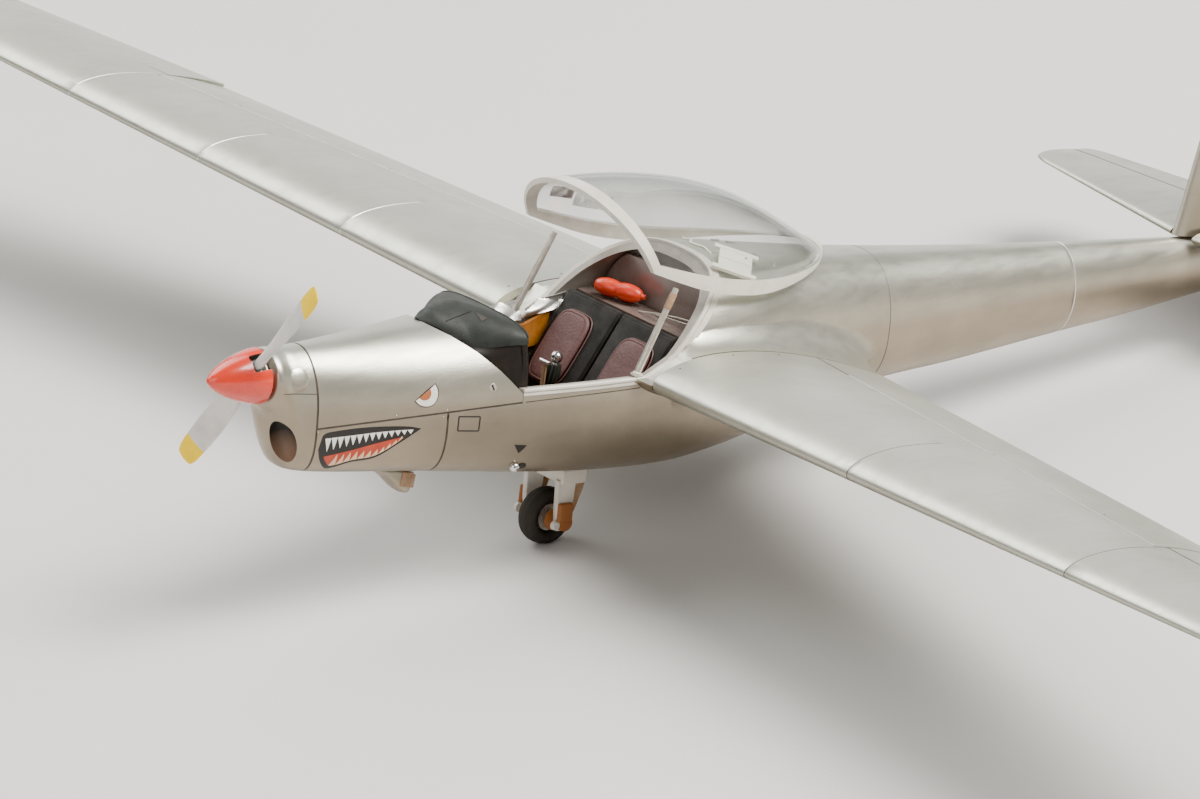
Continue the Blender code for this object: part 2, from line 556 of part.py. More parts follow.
def build_tail():
    """Fin, rudder, and a tailplane half and elevator half on each side."""
    def blade(rows, thick, fore, aft, count=6):
        """Symmetric blade; rows hold (leading edge, trailing edge) points, kept between shares."""
        rings = []
        for lead, trail, spread in rows:
            chord = (trail - lead).length
            direction = (trail - lead).normalized()
            a, b = fore(lead, trail), aft(lead, trail)
            shares = [a + (b - a) * (1 - math.cos(math.pi * k / count)) / 2 for k in range(count + 1)]
            halves = [max(foil(f, thick, 0.0)[0] * chord, BLADE_EDGE if f > 0.5 else 0.0) for f in shares]
            up = [lead + direction * chord * f + spread * h for f, h in zip(shares, halves)]
            down = [lead + direction * chord * f - spread * h for f, h in zip(shares, halves)]
            down = down[1:] if a == 0.0 else down
            rings.append(up + list(reversed(down)))
        return loft(rings)

    across = Vector((1, 0, 0))
    fin_rows = []
    for share in (0.0, 0.3, 0.6, 0.88, 1.0):
        z = lerp(FIN_ROOT_LE[1], FIN_TIP_LE[1], share)
        round_off = FIN_TIP_ROUNDING if share == 1.0 else 0.0
        lead = Vector((0, lerp(FIN_ROOT_LE[0], FIN_TIP_LE[0], share) + round_off, z))
        trail = Vector((0, lerp(RUDDER_ROOT_TE, RUDDER_TIP_TE, share) - round_off, z))
        fin_rows.append((lead, trail, across))
    seated = (Vector((0, FIN_ROOT_LE[0], FIN_SEAT_Z)),
              Vector((0, RUDDER_ROOT_TE, FIN_SEAT_Z - FIN_SEAT_FALL * (RUDDER_ROOT_TE - FIN_ROOT_LE[0]))), across)
    fin = blade([seated] + fin_rows[1:], FIN_THICK, lambda a, b: 0.0,
                lambda a, b: (RUDDER_HINGE_Y - GAP - a.y) / (b.y - a.y))
    mesh_object("fin", fin, "silver")
    foot = Vector((0, 0, RUDDER_BOTTOM - FIN_ROOT_LE[1]))
    taper = Vector((0, -RUDDER_FOOT_TAPER, 0))
    rudder_rows = [(fin_rows[0][0] + foot, fin_rows[0][1] + foot + taper, across)] + fin_rows
    rudder = blade(rudder_rows, FIN_THICK, lambda a, b: (RUDDER_HINGE_Y - a.y) / (b.y - a.y), lambda a, b: 1.0, 4)
    mesh_object("rudder", rudder, "silver")

    upward = Vector((0, 0, 1))
    for side, word in ((1, "port"), (-1, "starboard")):
        rows = []
        for share in (0.0, 0.5, 0.93, 1.0):
            x = lerp(TAIL_ROOT[0], TAIL_TIP[0], share)
            round_off = TAIL_TIP_ROUNDING if share == 1.0 else 0.0
            z = lerp(TAIL_ROOT[2], TAIL_TIP[2], share)
            rows.append((Vector((x, lerp(TAIL_ROOT[1], TAIL_TIP[1], share) + round_off, z)),
                         Vector((x, lerp(TAIL_ROOT_TE, TAIL_TIP_TE, share) - round_off, z)), upward))
        plane = blade(rows, TAIL_THICK, lambda a, b: 0.0, lambda a, b: (TAIL_HINGE - GAP - a.y) / (b.y - a.y))
        mesh_object("tailplane_" + word, mirrored(plane, side), "silver")
        elevator = blade(rows, TAIL_THICK, lambda a, b: (TAIL_HINGE - a.y) / (b.y - a.y), lambda a, b: 1.0, 4)
        mesh_object("elevator_" + word, mirrored(elevator, side), "silver")


def build_canopy():
    """Raised canopy: clear bubble, painted frame and two arms."""
    length = len(CANOPY_STATIONS) - 1

    def surface(s, t):
        """Point at share s from front to rear and share t from port rim to starboard rim."""
        rows = [(k / length, *row) for k, row in enumerate(CANOPY_STATIONS)]
        rim_y, half, rim_z, crown_y, crown_z = smooth_row(rows, s)
        angle = math.pi * t
        rise = math.sin(angle)
        return Vector((half * math.cos(angle), lerp(rim_y, crown_y, rise), lerp(rim_z, crown_z, rise)))

    def wall_pair(s, t):
        """Outer point and the inner point below it, square to the skin."""
        step = 1e-3
        s_near, t_near = min(max(s, step), 1 - step), min(max(t, step), 1 - step)
        along = surface(s_near + step, t) - surface(s_near - step, t)
        round_it = surface(s, t_near + step) - surface(s, t_near - step)
        inward = along.cross(round_it).normalized()
        if inward.z > 0 or abs(inward.z) < 0.2 and inward.x * surface(s, t).x > 0:
            inward.negate()
        outer = surface(s, t)
        return outer, outer + inward * CANOPY_THICK

    def skin_piece(rows, columns, kept, closed_rear=False):
        """Closed wall over the kept cells of a grid of shares."""
        mesh = bmesh.new()
        pairs = [[wall_pair(s, t) for t in columns] for s in rows]
        if closed_rear:
            forward = Vector((0, -CANOPY_THICK, 0))
            pairs[-1] = [(outer, inner + forward) for outer, inner in pairs[-1]]
        skins = [[[mesh.verts.new(pair[layer]) for pair in row] for row in pairs] for layer in (0, 1)]
        last_row, last_column = len(rows) - 1, len(columns) - 1

        def is_kept(i, j):
            """Whether the cell belongs to the piece."""
            return 0 <= i < last_row and 0 <= j < last_column and kept(i, j)

        def wall(a, b):
            """Close the wall between two neighbouring grid points."""
            outer, inner = skins
            mesh.faces.new((outer[a[0]][a[1]], outer[b[0]][b[1]], inner[b[0]][b[1]], inner[a[0]][a[1]]))

        for i in range(last_row):
            for j in range(last_column):
                if not is_kept(i, j):
                    continue
                for grid in skins:
                    mesh.faces.new((grid[i][j], grid[i][j + 1], grid[i + 1][j + 1], grid[i + 1][j]))
                for beside, a, b in (((i - 1, j), (i, j), (i, j + 1)), ((i, j - 1), (i, j), (i + 1, j)),
                                     ((i, j + 1), (i, j + 1), (i + 1, j + 1))):
                    if not is_kept(*beside):
                        wall(a, b)
                rear_edge = i + 1 == last_row and closed_rear
                if not is_kept(i + 1, j) and not rear_edge:
                    wall((i + 1, j), (i + 1, j + 1))
        if closed_rear:
            outer, inner = skins[0][-1], skins[1][-1]
            mesh.faces.new(outer)
            mesh.faces.new(inner)
            mesh.faces.new((outer[0], outer[-1], inner[-1], inner[0]))
        loose = [vert for vert in mesh.verts if not vert.link_faces]
        bmesh.ops.delete(mesh, geom=loose, context="VERTS")
        return mesh

    slit = 0.004
    rows = [CANOPY_FRONT_SHARE + slit
            + (CANOPY_REAR_SHARE - CANOPY_FRONT_SHARE - 2 * slit) * k / 14 for k in range(15)]
    columns = [CANOPY_SIDE_SHARE + slit + (1 - 2 * (CANOPY_SIDE_SHARE + slit)) * k / 16 for k in range(17)]
    mesh_object("canopy_glass", skin_piece(rows, columns, lambda i, j: True), "clear")

    rows = [0.0, CANOPY_FRONT_SHARE] + rows[1:-1] + [CANOPY_REAR_SHARE, 1.0]
    columns = [0.0, CANOPY_SIDE_SHARE] + columns[1:-1] + [1 - CANOPY_SIDE_SHARE, 1.0]
    ends = (0, len(rows) - 2)
    sides = (0, len(columns) - 2)
    frame = skin_piece(rows, columns, lambda i, j: i in ends or j in sides, closed_rear=True)
    mesh_object("canopy_frame", frame, "silver")

    for sign, word in ((1, "port"), (-1, "starboard")):
        base = Vector((ARM_BASE[0] * sign, *ARM_BASE[1:]))
        top = Vector((ARM_TOP[0] * sign, *ARM_TOP[1:]))
        mesh_object("canopy_arm_" + word, round_bar(bmesh.new(), base, top, ARM_RADIUS), "steel")


def build_cockpit():
    """Glareshield, panel, seats, controls and what lies behind the seats."""
    rings = []
    for y, half, foot, crown, squareness in HOOD_ROWS:
        arch = [math.pi * k / 16 for k in range(17)]
        power = 2.0 / squareness
        rings.append([Vector((math.copysign(half * abs(math.cos(a)) ** power, math.cos(a)), y,
                              foot + (crown - foot) * math.sin(a) ** power)) for a in arch])
    mesh_object("glareshield", loft(rings), "black")
    mesh_object("instrument_panel", prism(PANEL_OUTLINE, PANEL_HALF_WIDTH), "black")

    inside = SKIN + CLEARANCE
    floor = body_block(*FLOOR_Y, 8, inside)
    keep_side(floor, Vector((0, 0, FLOOR_TOP_Z)), Vector((0, 0, 1)))
    mesh_object("cockpit_floor", floor, "grey")
    wall = body_block(*BULKHEAD_Y, 1, inside)
    keep_side(wall, Vector((0, 0, BULKHEAD_Z[0])), Vector((0, 0, -1)))
    keep_side(wall, Vector((0, 0, BULKHEAD_Z[1])), Vector((0, 0, 1)))
    mesh_object("rear_bulkhead", wall, "grey")

    for sign, word in ((1, "port"), (-1, "starboard")):
        build_seat(sign, word)
        x = SEAT_PITCH_X * sign
        foot, neck, head = ((x, *place) for place in (STICK_FOOT, STICK_NECK, STICK_HEAD))
        grip = round_bar(bmesh.new(), neck, head, GRIP_RADIUS)
        grip = mesh_object("stick_grip_" + word, grip, None, cutter=True)
        stick = mesh_object("control_stick_" + word, round_bar(bmesh.new(), foot, neck, STICK_RADIUS), "black")
        cut(stick, grip, "UNION")
        near, far = TRIM_DEPTH
        trim = loft([[Vector((body_half(y, z, SKIN) - depth, y, z)) for depth, z in
                      ((near, low), (near, high), (far, high), (far, low))] for y, low, high in TRIM_ROWS])
        mesh_object("side_trim_" + word, mirrored(trim, sign), "wood")

    console = mesh_object("centre_console", box_mesh(CONSOLE_LOW, CONSOLE_HIGH), "black")
    lever = round_bar(bmesh.new(), LEVER_FOOT, LEVER_HEAD, LEVER_RADIUS)
    cut(console, mesh_object("lever_rod", lever, None, cutter=True), "UNION")
    knob = bmesh.new()
    bmesh.ops.create_uvsphere(knob, u_segments=16, v_segments=10, radius=KNOB_RADIUS,
                              matrix=Matrix.Translation(KNOB_CENTRE))
    mesh_object("lever_knob", knob, "steel")

    shelf = body_block(*SHELF_Y, 2, inside)
    keep_side(shelf, Vector((0, 0, SHELF_Z[1])), Vector((0, 0, 1)))
    keep_side(shelf, Vector((0, 0, SHELF_Z[0])), Vector((0, 0, -1)))
    mesh_object("parcel_shelf", shelf, "grey")
    mesh_object("red_bottle", round_bar(bmesh.new(), BOTTLE_END, BOTTLE_NECK, BOTTLE_RADIUS, 20), "red")
    half = [size / 2 for size in DECK_PLATE_SIZE]
    plate = box_mesh([-size for size in half], half)
    lying = Vector((0, 0, 1)).rotation_difference(Vector(DECK_NORMAL)).to_matrix().to_4x4()
    bmesh.ops.transform(plate, verts=plate.verts, matrix=Matrix.Translation(DECK_PLATE_MIDDLE) @ lying
                        @ Matrix.Rotation(DECK_PLATE_TURN, 4, "Z"))
    mesh_object("deck_plate", plate, "white")


def build_seat(sign, word):
    """Seat shell with its pan, and the back and seat pads on it."""
    x = SEAT_PITCH_X * sign
    leaning = Matrix.Translation((0, *SEAT_TOP)) @ Matrix.Rotation(-SEAT_LEAN, 4, "X")
    inner, outer = sorted(edge * sign for edge in SEAT_X)
    shell = box_mesh((inner, 0.0, -SEAT_HEIGHT), (outer, SEAT_THICK, 0.0))
    bmesh.ops.transform(shell, matrix=leaning, verts=shell.verts)
    low_y = min(vert.co.y for vert in shell.verts)
    low_z = min(vert.co.z for vert in shell.verts)
    made = mesh_object("seat_shell_" + word, shell, "black")
    pan = box_mesh((x - PAN_HALF_WIDTH, PAN_FRONT_Y, low_z - PAN_DROP),
                   (x + PAN_HALF_WIDTH, low_y + PAN_OVERLAP, low_z + PAN_RISE))
    cut(made, mesh_object("seat_pan_" + word, pan, None, cutter=True), "UNION")
    back = box_mesh((x - BACK_PAD_HALF, BACK_PAD_Y[0], BACK_PAD_Z[0]), (x + BACK_PAD_HALF, BACK_PAD_Y[1], BACK_PAD_Z[1]))
    seat = box_mesh((x - SEAT_PAD_HALF, SEAT_PAD_FRONT_Y, low_z + SEAT_PAD_Z[0]),
                    (x + SEAT_PAD_HALF, low_y - SEAT_PAD_BACK, low_z + SEAT_PAD_Z[1]))
    for pad in (back, seat):
        bmesh.ops.bevel(pad, geom=pad.edges[:], offset=PAD_ROUNDING, affect="EDGES", segments=2, profile=0.5,
                        material=-1)
    bmesh.ops.transform(back, matrix=leaning, verts=back.verts)
    mesh_object("back_cushion_" + word, back, "mauve")
    mesh_object("seat_cushion_" + word, seat, "mauve")


def build_propeller():
    """Spinner, two-blade propeller and backplate, all turning about the y axis."""
    hub = bpy.data.objects.new("propeller_axis", None)
    hub.location = Vector(PROP_CENTRE) * MM
    hub.parent = STANCE
    MODEL.objects.link(hub)

    def on_hub(made):
        """Hang a piece that was placed in the model's axes on the propeller's own axis."""
        made.parent = hub
        made.location = made.location - hub.location
        return made

    centre = Vector(PROP_CENTRE)

    def disc(y_from, y_to, radius):
        """Round block about the propeller's axis."""
        return round_bar(bmesh.new(), (0, y_from, centre.z), (0, y_to, centre.z), radius, 20)

    spinner = turned(SPINNER_PROFILE, (0, 0, centre.z), axis="Y", sides=36)
    spinner = on_hub(mesh_object("spinner", spinner, "red"))
    blades = bmesh.new()
    for turn in (0.0, math.pi):
        rings = []
        for reach, chord, thick, twist in BLADE_ROWS:
            ring = []
            for k in range(12):
                angle = 2 * math.pi * k / 12
                local = Vector((math.cos(angle) * chord / 2, math.sin(angle) * thick / 2, reach))
                ring.append(Matrix.Rotation(-math.radians(twist), 3, "Z") @ local)
            rings.append(ring)
        blade = loft(rings)
        bmesh.ops.transform(blade, verts=blade.verts, matrix=Matrix.Translation(centre)
                            @ Matrix.Rotation(PROP_TURN + turn, 4, "Y"))
        bridge = bpy.data.meshes.new("blade")
        blade.to_mesh(bridge)
        blade.free()
        blades.from_mesh(bridge)
        bpy.data.meshes.remove(bridge)
    blades = on_hub(mesh_object("propeller_blades", blades, "white"))
    core = disc(*PROP_CORE)
    cut(blades, on_hub(mesh_object("propeller_core", core, None, cutter=True)), "UNION")
    room = disc(*SPINNER_ROOM)
    cut(spinner, on_hub(mesh_object("spinner_room_cutter", room, None, cutter=True)))
    spoke = Vector((math.sin(PROP_TURN), 0, math.cos(PROP_TURN))) * BLADE_SLOT_REACH
    slots = round_bar(bmesh.new(), centre - spoke, centre + spoke, BLADE_SLOT_RADIUS, 16)
    cut(spinner, on_hub(mesh_object("blade_slot_cutter", slots, None, cutter=True)))
    on_hub(mesh_object("spinner_backplate", disc(*BACKPLATE), "dark_gap"))


def wheel(name_tyre, name_hub, radius, width, centre, hub_radius, parent_name, sides=(32, 12)):
    """Tyre and hub that turn together about the x axis; without a hub the tyre is a solid disc."""
    axis = bpy.data.objects.new(parent_name, None)
    axis.location = Vector(centre) * MM
    axis.parent = STANCE
    MODEL.objects.link(axis)
    half = width / 2
    wall = radius - hub_radius
    around, across = sides
    if name_hub is None:
        tread = [(lerp(hub_radius, radius, 0.55) + math.cos(angle) * wall * 0.45, half * math.sin(angle))
                 for angle in (-1.4, -0.7, 0.0, 0.7, 1.4)]
        bore, shoulder = 0.3, half * 0.9
        disc = turned([(bore, -half), (hub_radius, -shoulder), *tread, (hub_radius, shoulder), (bore, half)],
                      (0, 0, 0), sides=around)
        mesh_object(name_tyre, disc, "rubber").parent = axis
        return
    profile = []
    for k in range(across):
        angle = 2 * math.pi * k / across
        profile.append((radius - wall / 2 + math.cos(angle) * wall / 2, half * math.sin(angle)))
    tyre = turned(profile, (0, 0, 0), sides=around, ring=True)
    mesh_object(name_tyre, tyre, "rubber").parent = axis
    inner, face, rim = hub_radius - HUB_CLEARANCE, half * 0.95, half * 0.55
    hub = turned([(inner * 0.4, -face), (inner * 0.98, -rim), (inner, 0), (inner * 0.98, rim), (inner * 0.4, face)],
                 (0, 0, 0), sides=24)
    mesh_object(name_hub, hub, "steel").parent = axis


def build_gear():
    """Main fork and wheel, tail fork and wheel, and the outriggers."""
    y, z = MAIN_AXLE
    wheel("main_tyre", "main_hub", MAIN_RADIUS, MAIN_WIDTH, (0, y, z), MAIN_HUB_RADIUS, "main_wheel_axis")
    fork = box_mesh((-FORK_HALF, y - FORK_AHEAD, FORK_BOTTOM), (FORK_HALF, y + FORK_BEHIND, BELLY_FLAT_Z - FORK_SEAT))
    fork = mesh_object("main_fork", fork, "white")
    for sign, word in ((1, "port"), (-1, "starboard")):
        inner, outer = (sign * x for x in LEG_X)
        leg = loft([[Vector((inner, y + a, h)), Vector((outer, y + a, h)), Vector((outer, y + b, h)),
                     Vector((inner, y + b, h))] for h, a, b in LEG_ROWS])
        cut(fork, mesh_object("fork_leg_" + word, leg, None, cutter=True), "UNION")
        near, far = (sign * x for x in BRAKE_X)
        mesh_object("brake_" + word, round_bar(bmesh.new(), (near, y, z), (far, y, z), BRAKE_RADIUS, 16), "rust")
        near, far = (sign * x for x in STUB_X)
        stub = round_bar(bmesh.new(), (near, y, z), (far, y, z), STUB_RADIUS)
        cut(fork, mesh_object("axle_stub_" + word, stub, None, cutter=True), "UNION")

    y, z = TAIL_AXLE
    wheel("tail_tyre", "tail_hub", TAIL_RADIUS, TAIL_WIDTH, (0, y, z), TAIL_HUB_RADIUS, "tail_wheel_axis", (24, 10))
    post_y = y - TAIL_POST_AHEAD
    fork = box_mesh((-TAIL_FORK_HALF, post_y + TAIL_POST_Y[0], TAIL_FORK_Z[0]),
                    (TAIL_FORK_HALF, post_y + TAIL_POST_Y[1], TAIL_FORK_Z[1]))
    fork = mesh_object("tail_fork", fork, "silver")
    for sign, word in ((1, "port"), (-1, "starboard")):
        inner, outer = (sign * x for x in TAIL_ARM_X)
        high, fore, aft = TAIL_ARM_TOP
        low, low_fore, low_aft = TAIL_ARM_LOW
        arm = loft([[Vector((inner, a, h)), Vector((outer, a, h)), Vector((outer, b, h)), Vector((inner, b, h))]
                    for h, a, b in ((high, post_y + fore, post_y + aft), (z + low, y + low_fore, y + low_aft))])
        cut(fork, mesh_object("tail_arm_" + word, arm, None, cutter=True), "UNION")

    ground_at = MAIN_AXLE[0] * math.sin(PARKED_PITCH) - MAIN_AXLE[1] * math.cos(PARKED_PITCH) + MAIN_RADIUS
    foot = wing_point(OUTRIGGER_X, OUTRIGGER_CHORD, False)
    wheel_y = foot.y + OUTRIGGER_REACH
    wheel_z = (-ground_at + OUTRIGGER_RADIUS + wheel_y * math.sin(PARKED_PITCH)) / math.cos(PARKED_PITCH)
    beside = OUTRIGGER_X + OUTRIGGER_WIDTH / 2 + OUTRIGGER_BESIDE
    # Columns: y, z, half width, half depth.
    rows = [(foot.y, foot.z - 0.15, 0.35, 0.7), (foot.y + 0.3, lerp(foot.z, wheel_z, 0.6), 0.3, 0.5),
            (wheel_y, wheel_z - 0.4, 0.22, 0.4)]
    for sign, word in ((1, "port"), (-1, "starboard")):
        wheel("outrigger_wheel_" + word, None, OUTRIGGER_RADIUS, OUTRIGGER_WIDTH,
              (OUTRIGGER_X * sign, wheel_y, wheel_z), OUTRIGGER_HUB_RADIUS, "outrigger_axis_" + word, (24, 0))
        leg = loft([[Vector((beside - w, cy - d, cz)), Vector((beside + w, cy - d, cz)),
                     Vector((beside + w, cy + d, cz)), Vector((beside - w, cy + d, cz))] for cy, cz, w, d in rows])
        mesh_object("outrigger_leg_" + word, mirrored(leg, sign), "silver")


def stand_on_ground():
    """Lift the stance so that the wheels touch z = 0 and the model's box is centred."""
    bpy.context.view_layer.update()
    depsgraph = bpy.context.evaluated_depsgraph_get()
    low, high = Vector((1e9,) * 3), Vector((-1e9,) * 3)
    for piece in MODEL.objects:
        if piece.type != "MESH":
            continue
        seen = piece.evaluated_get(depsgraph)
        for vert in seen.data.vertices:
            place = seen.matrix_world @ vert.co
            low = Vector(map(min, low, place))
            high = Vector(map(max, high, place))
    STANCE.location = (-(low.x + high.x) / 2, -(low.y + high.y) / 2, -low.z)


build_nose()
build_shell()
build_wings()
build_tail()
build_canopy()
build_cockpit()
build_propeller()
build_gear()
stand_on_ground()
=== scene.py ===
"""Looks of a 1:48 display model of a side-by-side touring motor glider.

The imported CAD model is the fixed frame. Each class holds one sub-assembly: its sizes, in the
model's millimetres, the methods that build its fine meshes, and the finishes they wear. The
model's axes are x to port, y aft from the spinner's tip and z up from the propeller's axis; the
bench turns them into the frame's metres.
"""
from __future__ import annotations

import json
import logging
import math
from dataclasses import dataclass
from enum import Enum
from typing import Any, Callable, Iterable, Sequence

import bmesh
import bpy
from mathutils import Matrix, Vector
from mathutils.bvhtree import BVHTree

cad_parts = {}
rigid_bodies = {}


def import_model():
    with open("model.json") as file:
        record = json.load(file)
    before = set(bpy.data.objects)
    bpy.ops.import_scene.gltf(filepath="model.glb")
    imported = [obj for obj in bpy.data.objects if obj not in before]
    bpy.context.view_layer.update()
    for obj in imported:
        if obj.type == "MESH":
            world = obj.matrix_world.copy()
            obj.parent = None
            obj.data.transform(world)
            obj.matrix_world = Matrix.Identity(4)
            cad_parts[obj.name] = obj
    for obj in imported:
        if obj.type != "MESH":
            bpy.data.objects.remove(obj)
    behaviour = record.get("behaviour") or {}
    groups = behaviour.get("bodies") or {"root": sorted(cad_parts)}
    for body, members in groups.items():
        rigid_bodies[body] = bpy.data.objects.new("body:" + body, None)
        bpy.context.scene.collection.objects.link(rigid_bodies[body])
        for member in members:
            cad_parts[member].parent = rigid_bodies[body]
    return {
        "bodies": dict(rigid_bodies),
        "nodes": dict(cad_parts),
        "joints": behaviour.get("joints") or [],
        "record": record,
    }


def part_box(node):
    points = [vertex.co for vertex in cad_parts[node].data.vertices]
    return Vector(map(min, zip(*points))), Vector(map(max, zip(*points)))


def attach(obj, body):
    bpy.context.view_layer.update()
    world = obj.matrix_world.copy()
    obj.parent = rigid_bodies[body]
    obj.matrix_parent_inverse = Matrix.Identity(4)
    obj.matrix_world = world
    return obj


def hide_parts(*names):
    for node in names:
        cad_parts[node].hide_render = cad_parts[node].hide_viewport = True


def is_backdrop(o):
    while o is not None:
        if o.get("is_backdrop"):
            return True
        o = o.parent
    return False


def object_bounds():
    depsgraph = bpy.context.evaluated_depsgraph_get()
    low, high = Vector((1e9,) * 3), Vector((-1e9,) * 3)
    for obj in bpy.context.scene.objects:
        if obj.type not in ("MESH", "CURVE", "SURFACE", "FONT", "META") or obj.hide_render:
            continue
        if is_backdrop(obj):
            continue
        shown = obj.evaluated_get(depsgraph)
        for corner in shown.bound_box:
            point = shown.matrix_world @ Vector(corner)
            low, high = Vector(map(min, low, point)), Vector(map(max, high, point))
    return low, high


Mesh = bmesh.types.BMesh
Socket = bpy.types.NodeSocket
Row = tuple[float, ...]
Rows = tuple[Row, ...]
Colour = tuple[float, float, float]
Place = Callable[[float, float], Vector]
Shape = Callable[[float, float], Row]

LOG = logging.getLogger("motor_glider")
MM = 0.001
WELD = 2e-4                          # points closer than this become one
GAP = 0.26                           # engraved seam between two neighbouring pieces
FLOOR_DEPTH = 0.07                   # how deep an engraved line goes
FILM = (0.025, 0.04, 0.055)          # heights of the first, second and third coat of a marking
UNSHADED_UPWARD = 0.62                        # upward part of a normal below which silver takes painted shade and a painted warm reflection
PARKED_PITCH = math.radians(8.65)    # nose up on the main wheel and the tail wheel
QUARTER = math.radians(90)
MAIN_AXLE = (51.2, -21.7)
TAIL_AXLE = (158.2, -6.835)
UP = Vector((0, 0, 1))


class Carve(Enum):
    """What a tool does to the body it is set against."""

    AWAY = "DIFFERENCE"
    JOIN = "UNION"


class Body(Enum):
    """The CAD bodies that pieces ride on."""

    AIRFRAME = "airframe"
    PROPELLER = "propeller"
    MAIN_WHEEL = "main_wheel"
    TAIL_WHEEL = "tail_wheel"
    OUTRIGGER_PORT = "outrigger_wheel_port_body"
    OUTRIGGER_STARBOARD = "outrigger_wheel_starboard_body"


class Side(Enum):
    """The two sides of the model, by the sign of x."""

    PORT = 1
    STARBOARD = -1

    @property
    def word(self) -> str:
        """Name of the side in lower case."""
        return self.name.lower()


def lerp(a: float, b: float, t: float) -> float:
    """Mix two numbers."""
    return a + (b - a) * t


def steps(first: float, last: float, count: int) -> list[float]:
    """Evenly spaced numbers, both ends included."""
    return [lerp(first, last, k / count) for k in range(count + 1)]


def circle(count: int, start: float = 0.0) -> list[tuple[float, float]]:
    """Cosines and sines of evenly spaced angles, once round."""
    return [(math.cos(2 * math.pi * (k + start) / count), math.sin(2 * math.pi * (k + start) / count))
            for k in range(count)]


def signed(value: float, power: float) -> float:
    """Raise a number's size to a power and keep its sign."""
    return math.copysign(abs(value) ** power, value)


def seated(spot: Vector, normal: Vector, turn: float = 0.0) -> Matrix:
    """Stand what is made on z = 0 on a surface, turned about the surface's normal."""
    aim = normal.to_track_quat("Z", "Y").to_matrix().to_4x4()
    return Matrix.Translation(spot) @ aim @ Matrix.Rotation(turn, 4, "Z")


def smooth_row(rows: Sequence[Row], key: float) -> list[float]:
    """Read a table at key, its first column, on a smooth curve through its rows.

    Args:
        rows: Table sorted by its first column.
        key: Place in the first column.

    Returns:
        The other columns at that place.
    """
    index = 0
    while index < len(rows) - 2 and key > rows[index + 1][0]:
        index += 1
    before, start = rows[max(index - 1, 0)], rows[index]
    end, after = rows[index + 1], rows[min(index + 2, len(rows) - 1)]
    width = end[0] - start[0]
    t = (key - start[0]) / width
    t2, t3 = t * t, t * t * t
    result = []
    for column in range(1, len(start)):
        slope_in = (end[column] - before[column]) / (end[0] - before[0])
        slope_out = (after[column] - start[column]) / (after[0] - start[0])
        result.append((2 * t3 - 3 * t2 + 1) * start[column] + (t3 - 2 * t2 + t) * width * slope_in
                      + (3 * t2 - 2 * t3) * end[column] + (t3 - t2) * width * slope_out)
    return result


def along_table(rows: Sequence[Row], key: float) -> float:
    """Read a two-column table at key, straight between its rows."""
    for (start, low), (end, high) in zip(rows, rows[1:]):
        if key <= end:
            return lerp(low, high, (key - start) / (end - start))
    return rows[-1][1]


def along_line(points: Sequence[Row], share: float) -> Vector:
    """Point at a share of a line's length, with as many parts as the line's corners have."""
    corners = [Vector(p) for p in points]
    spans = [(b - a).length for a, b in zip(corners, corners[1:])]
    left = share * sum(spans)
    for a, b, span in zip(corners, corners[1:], spans):
        if left <= span:
            return a.lerp(b, left / span)
        left -= span
    return corners[-1]


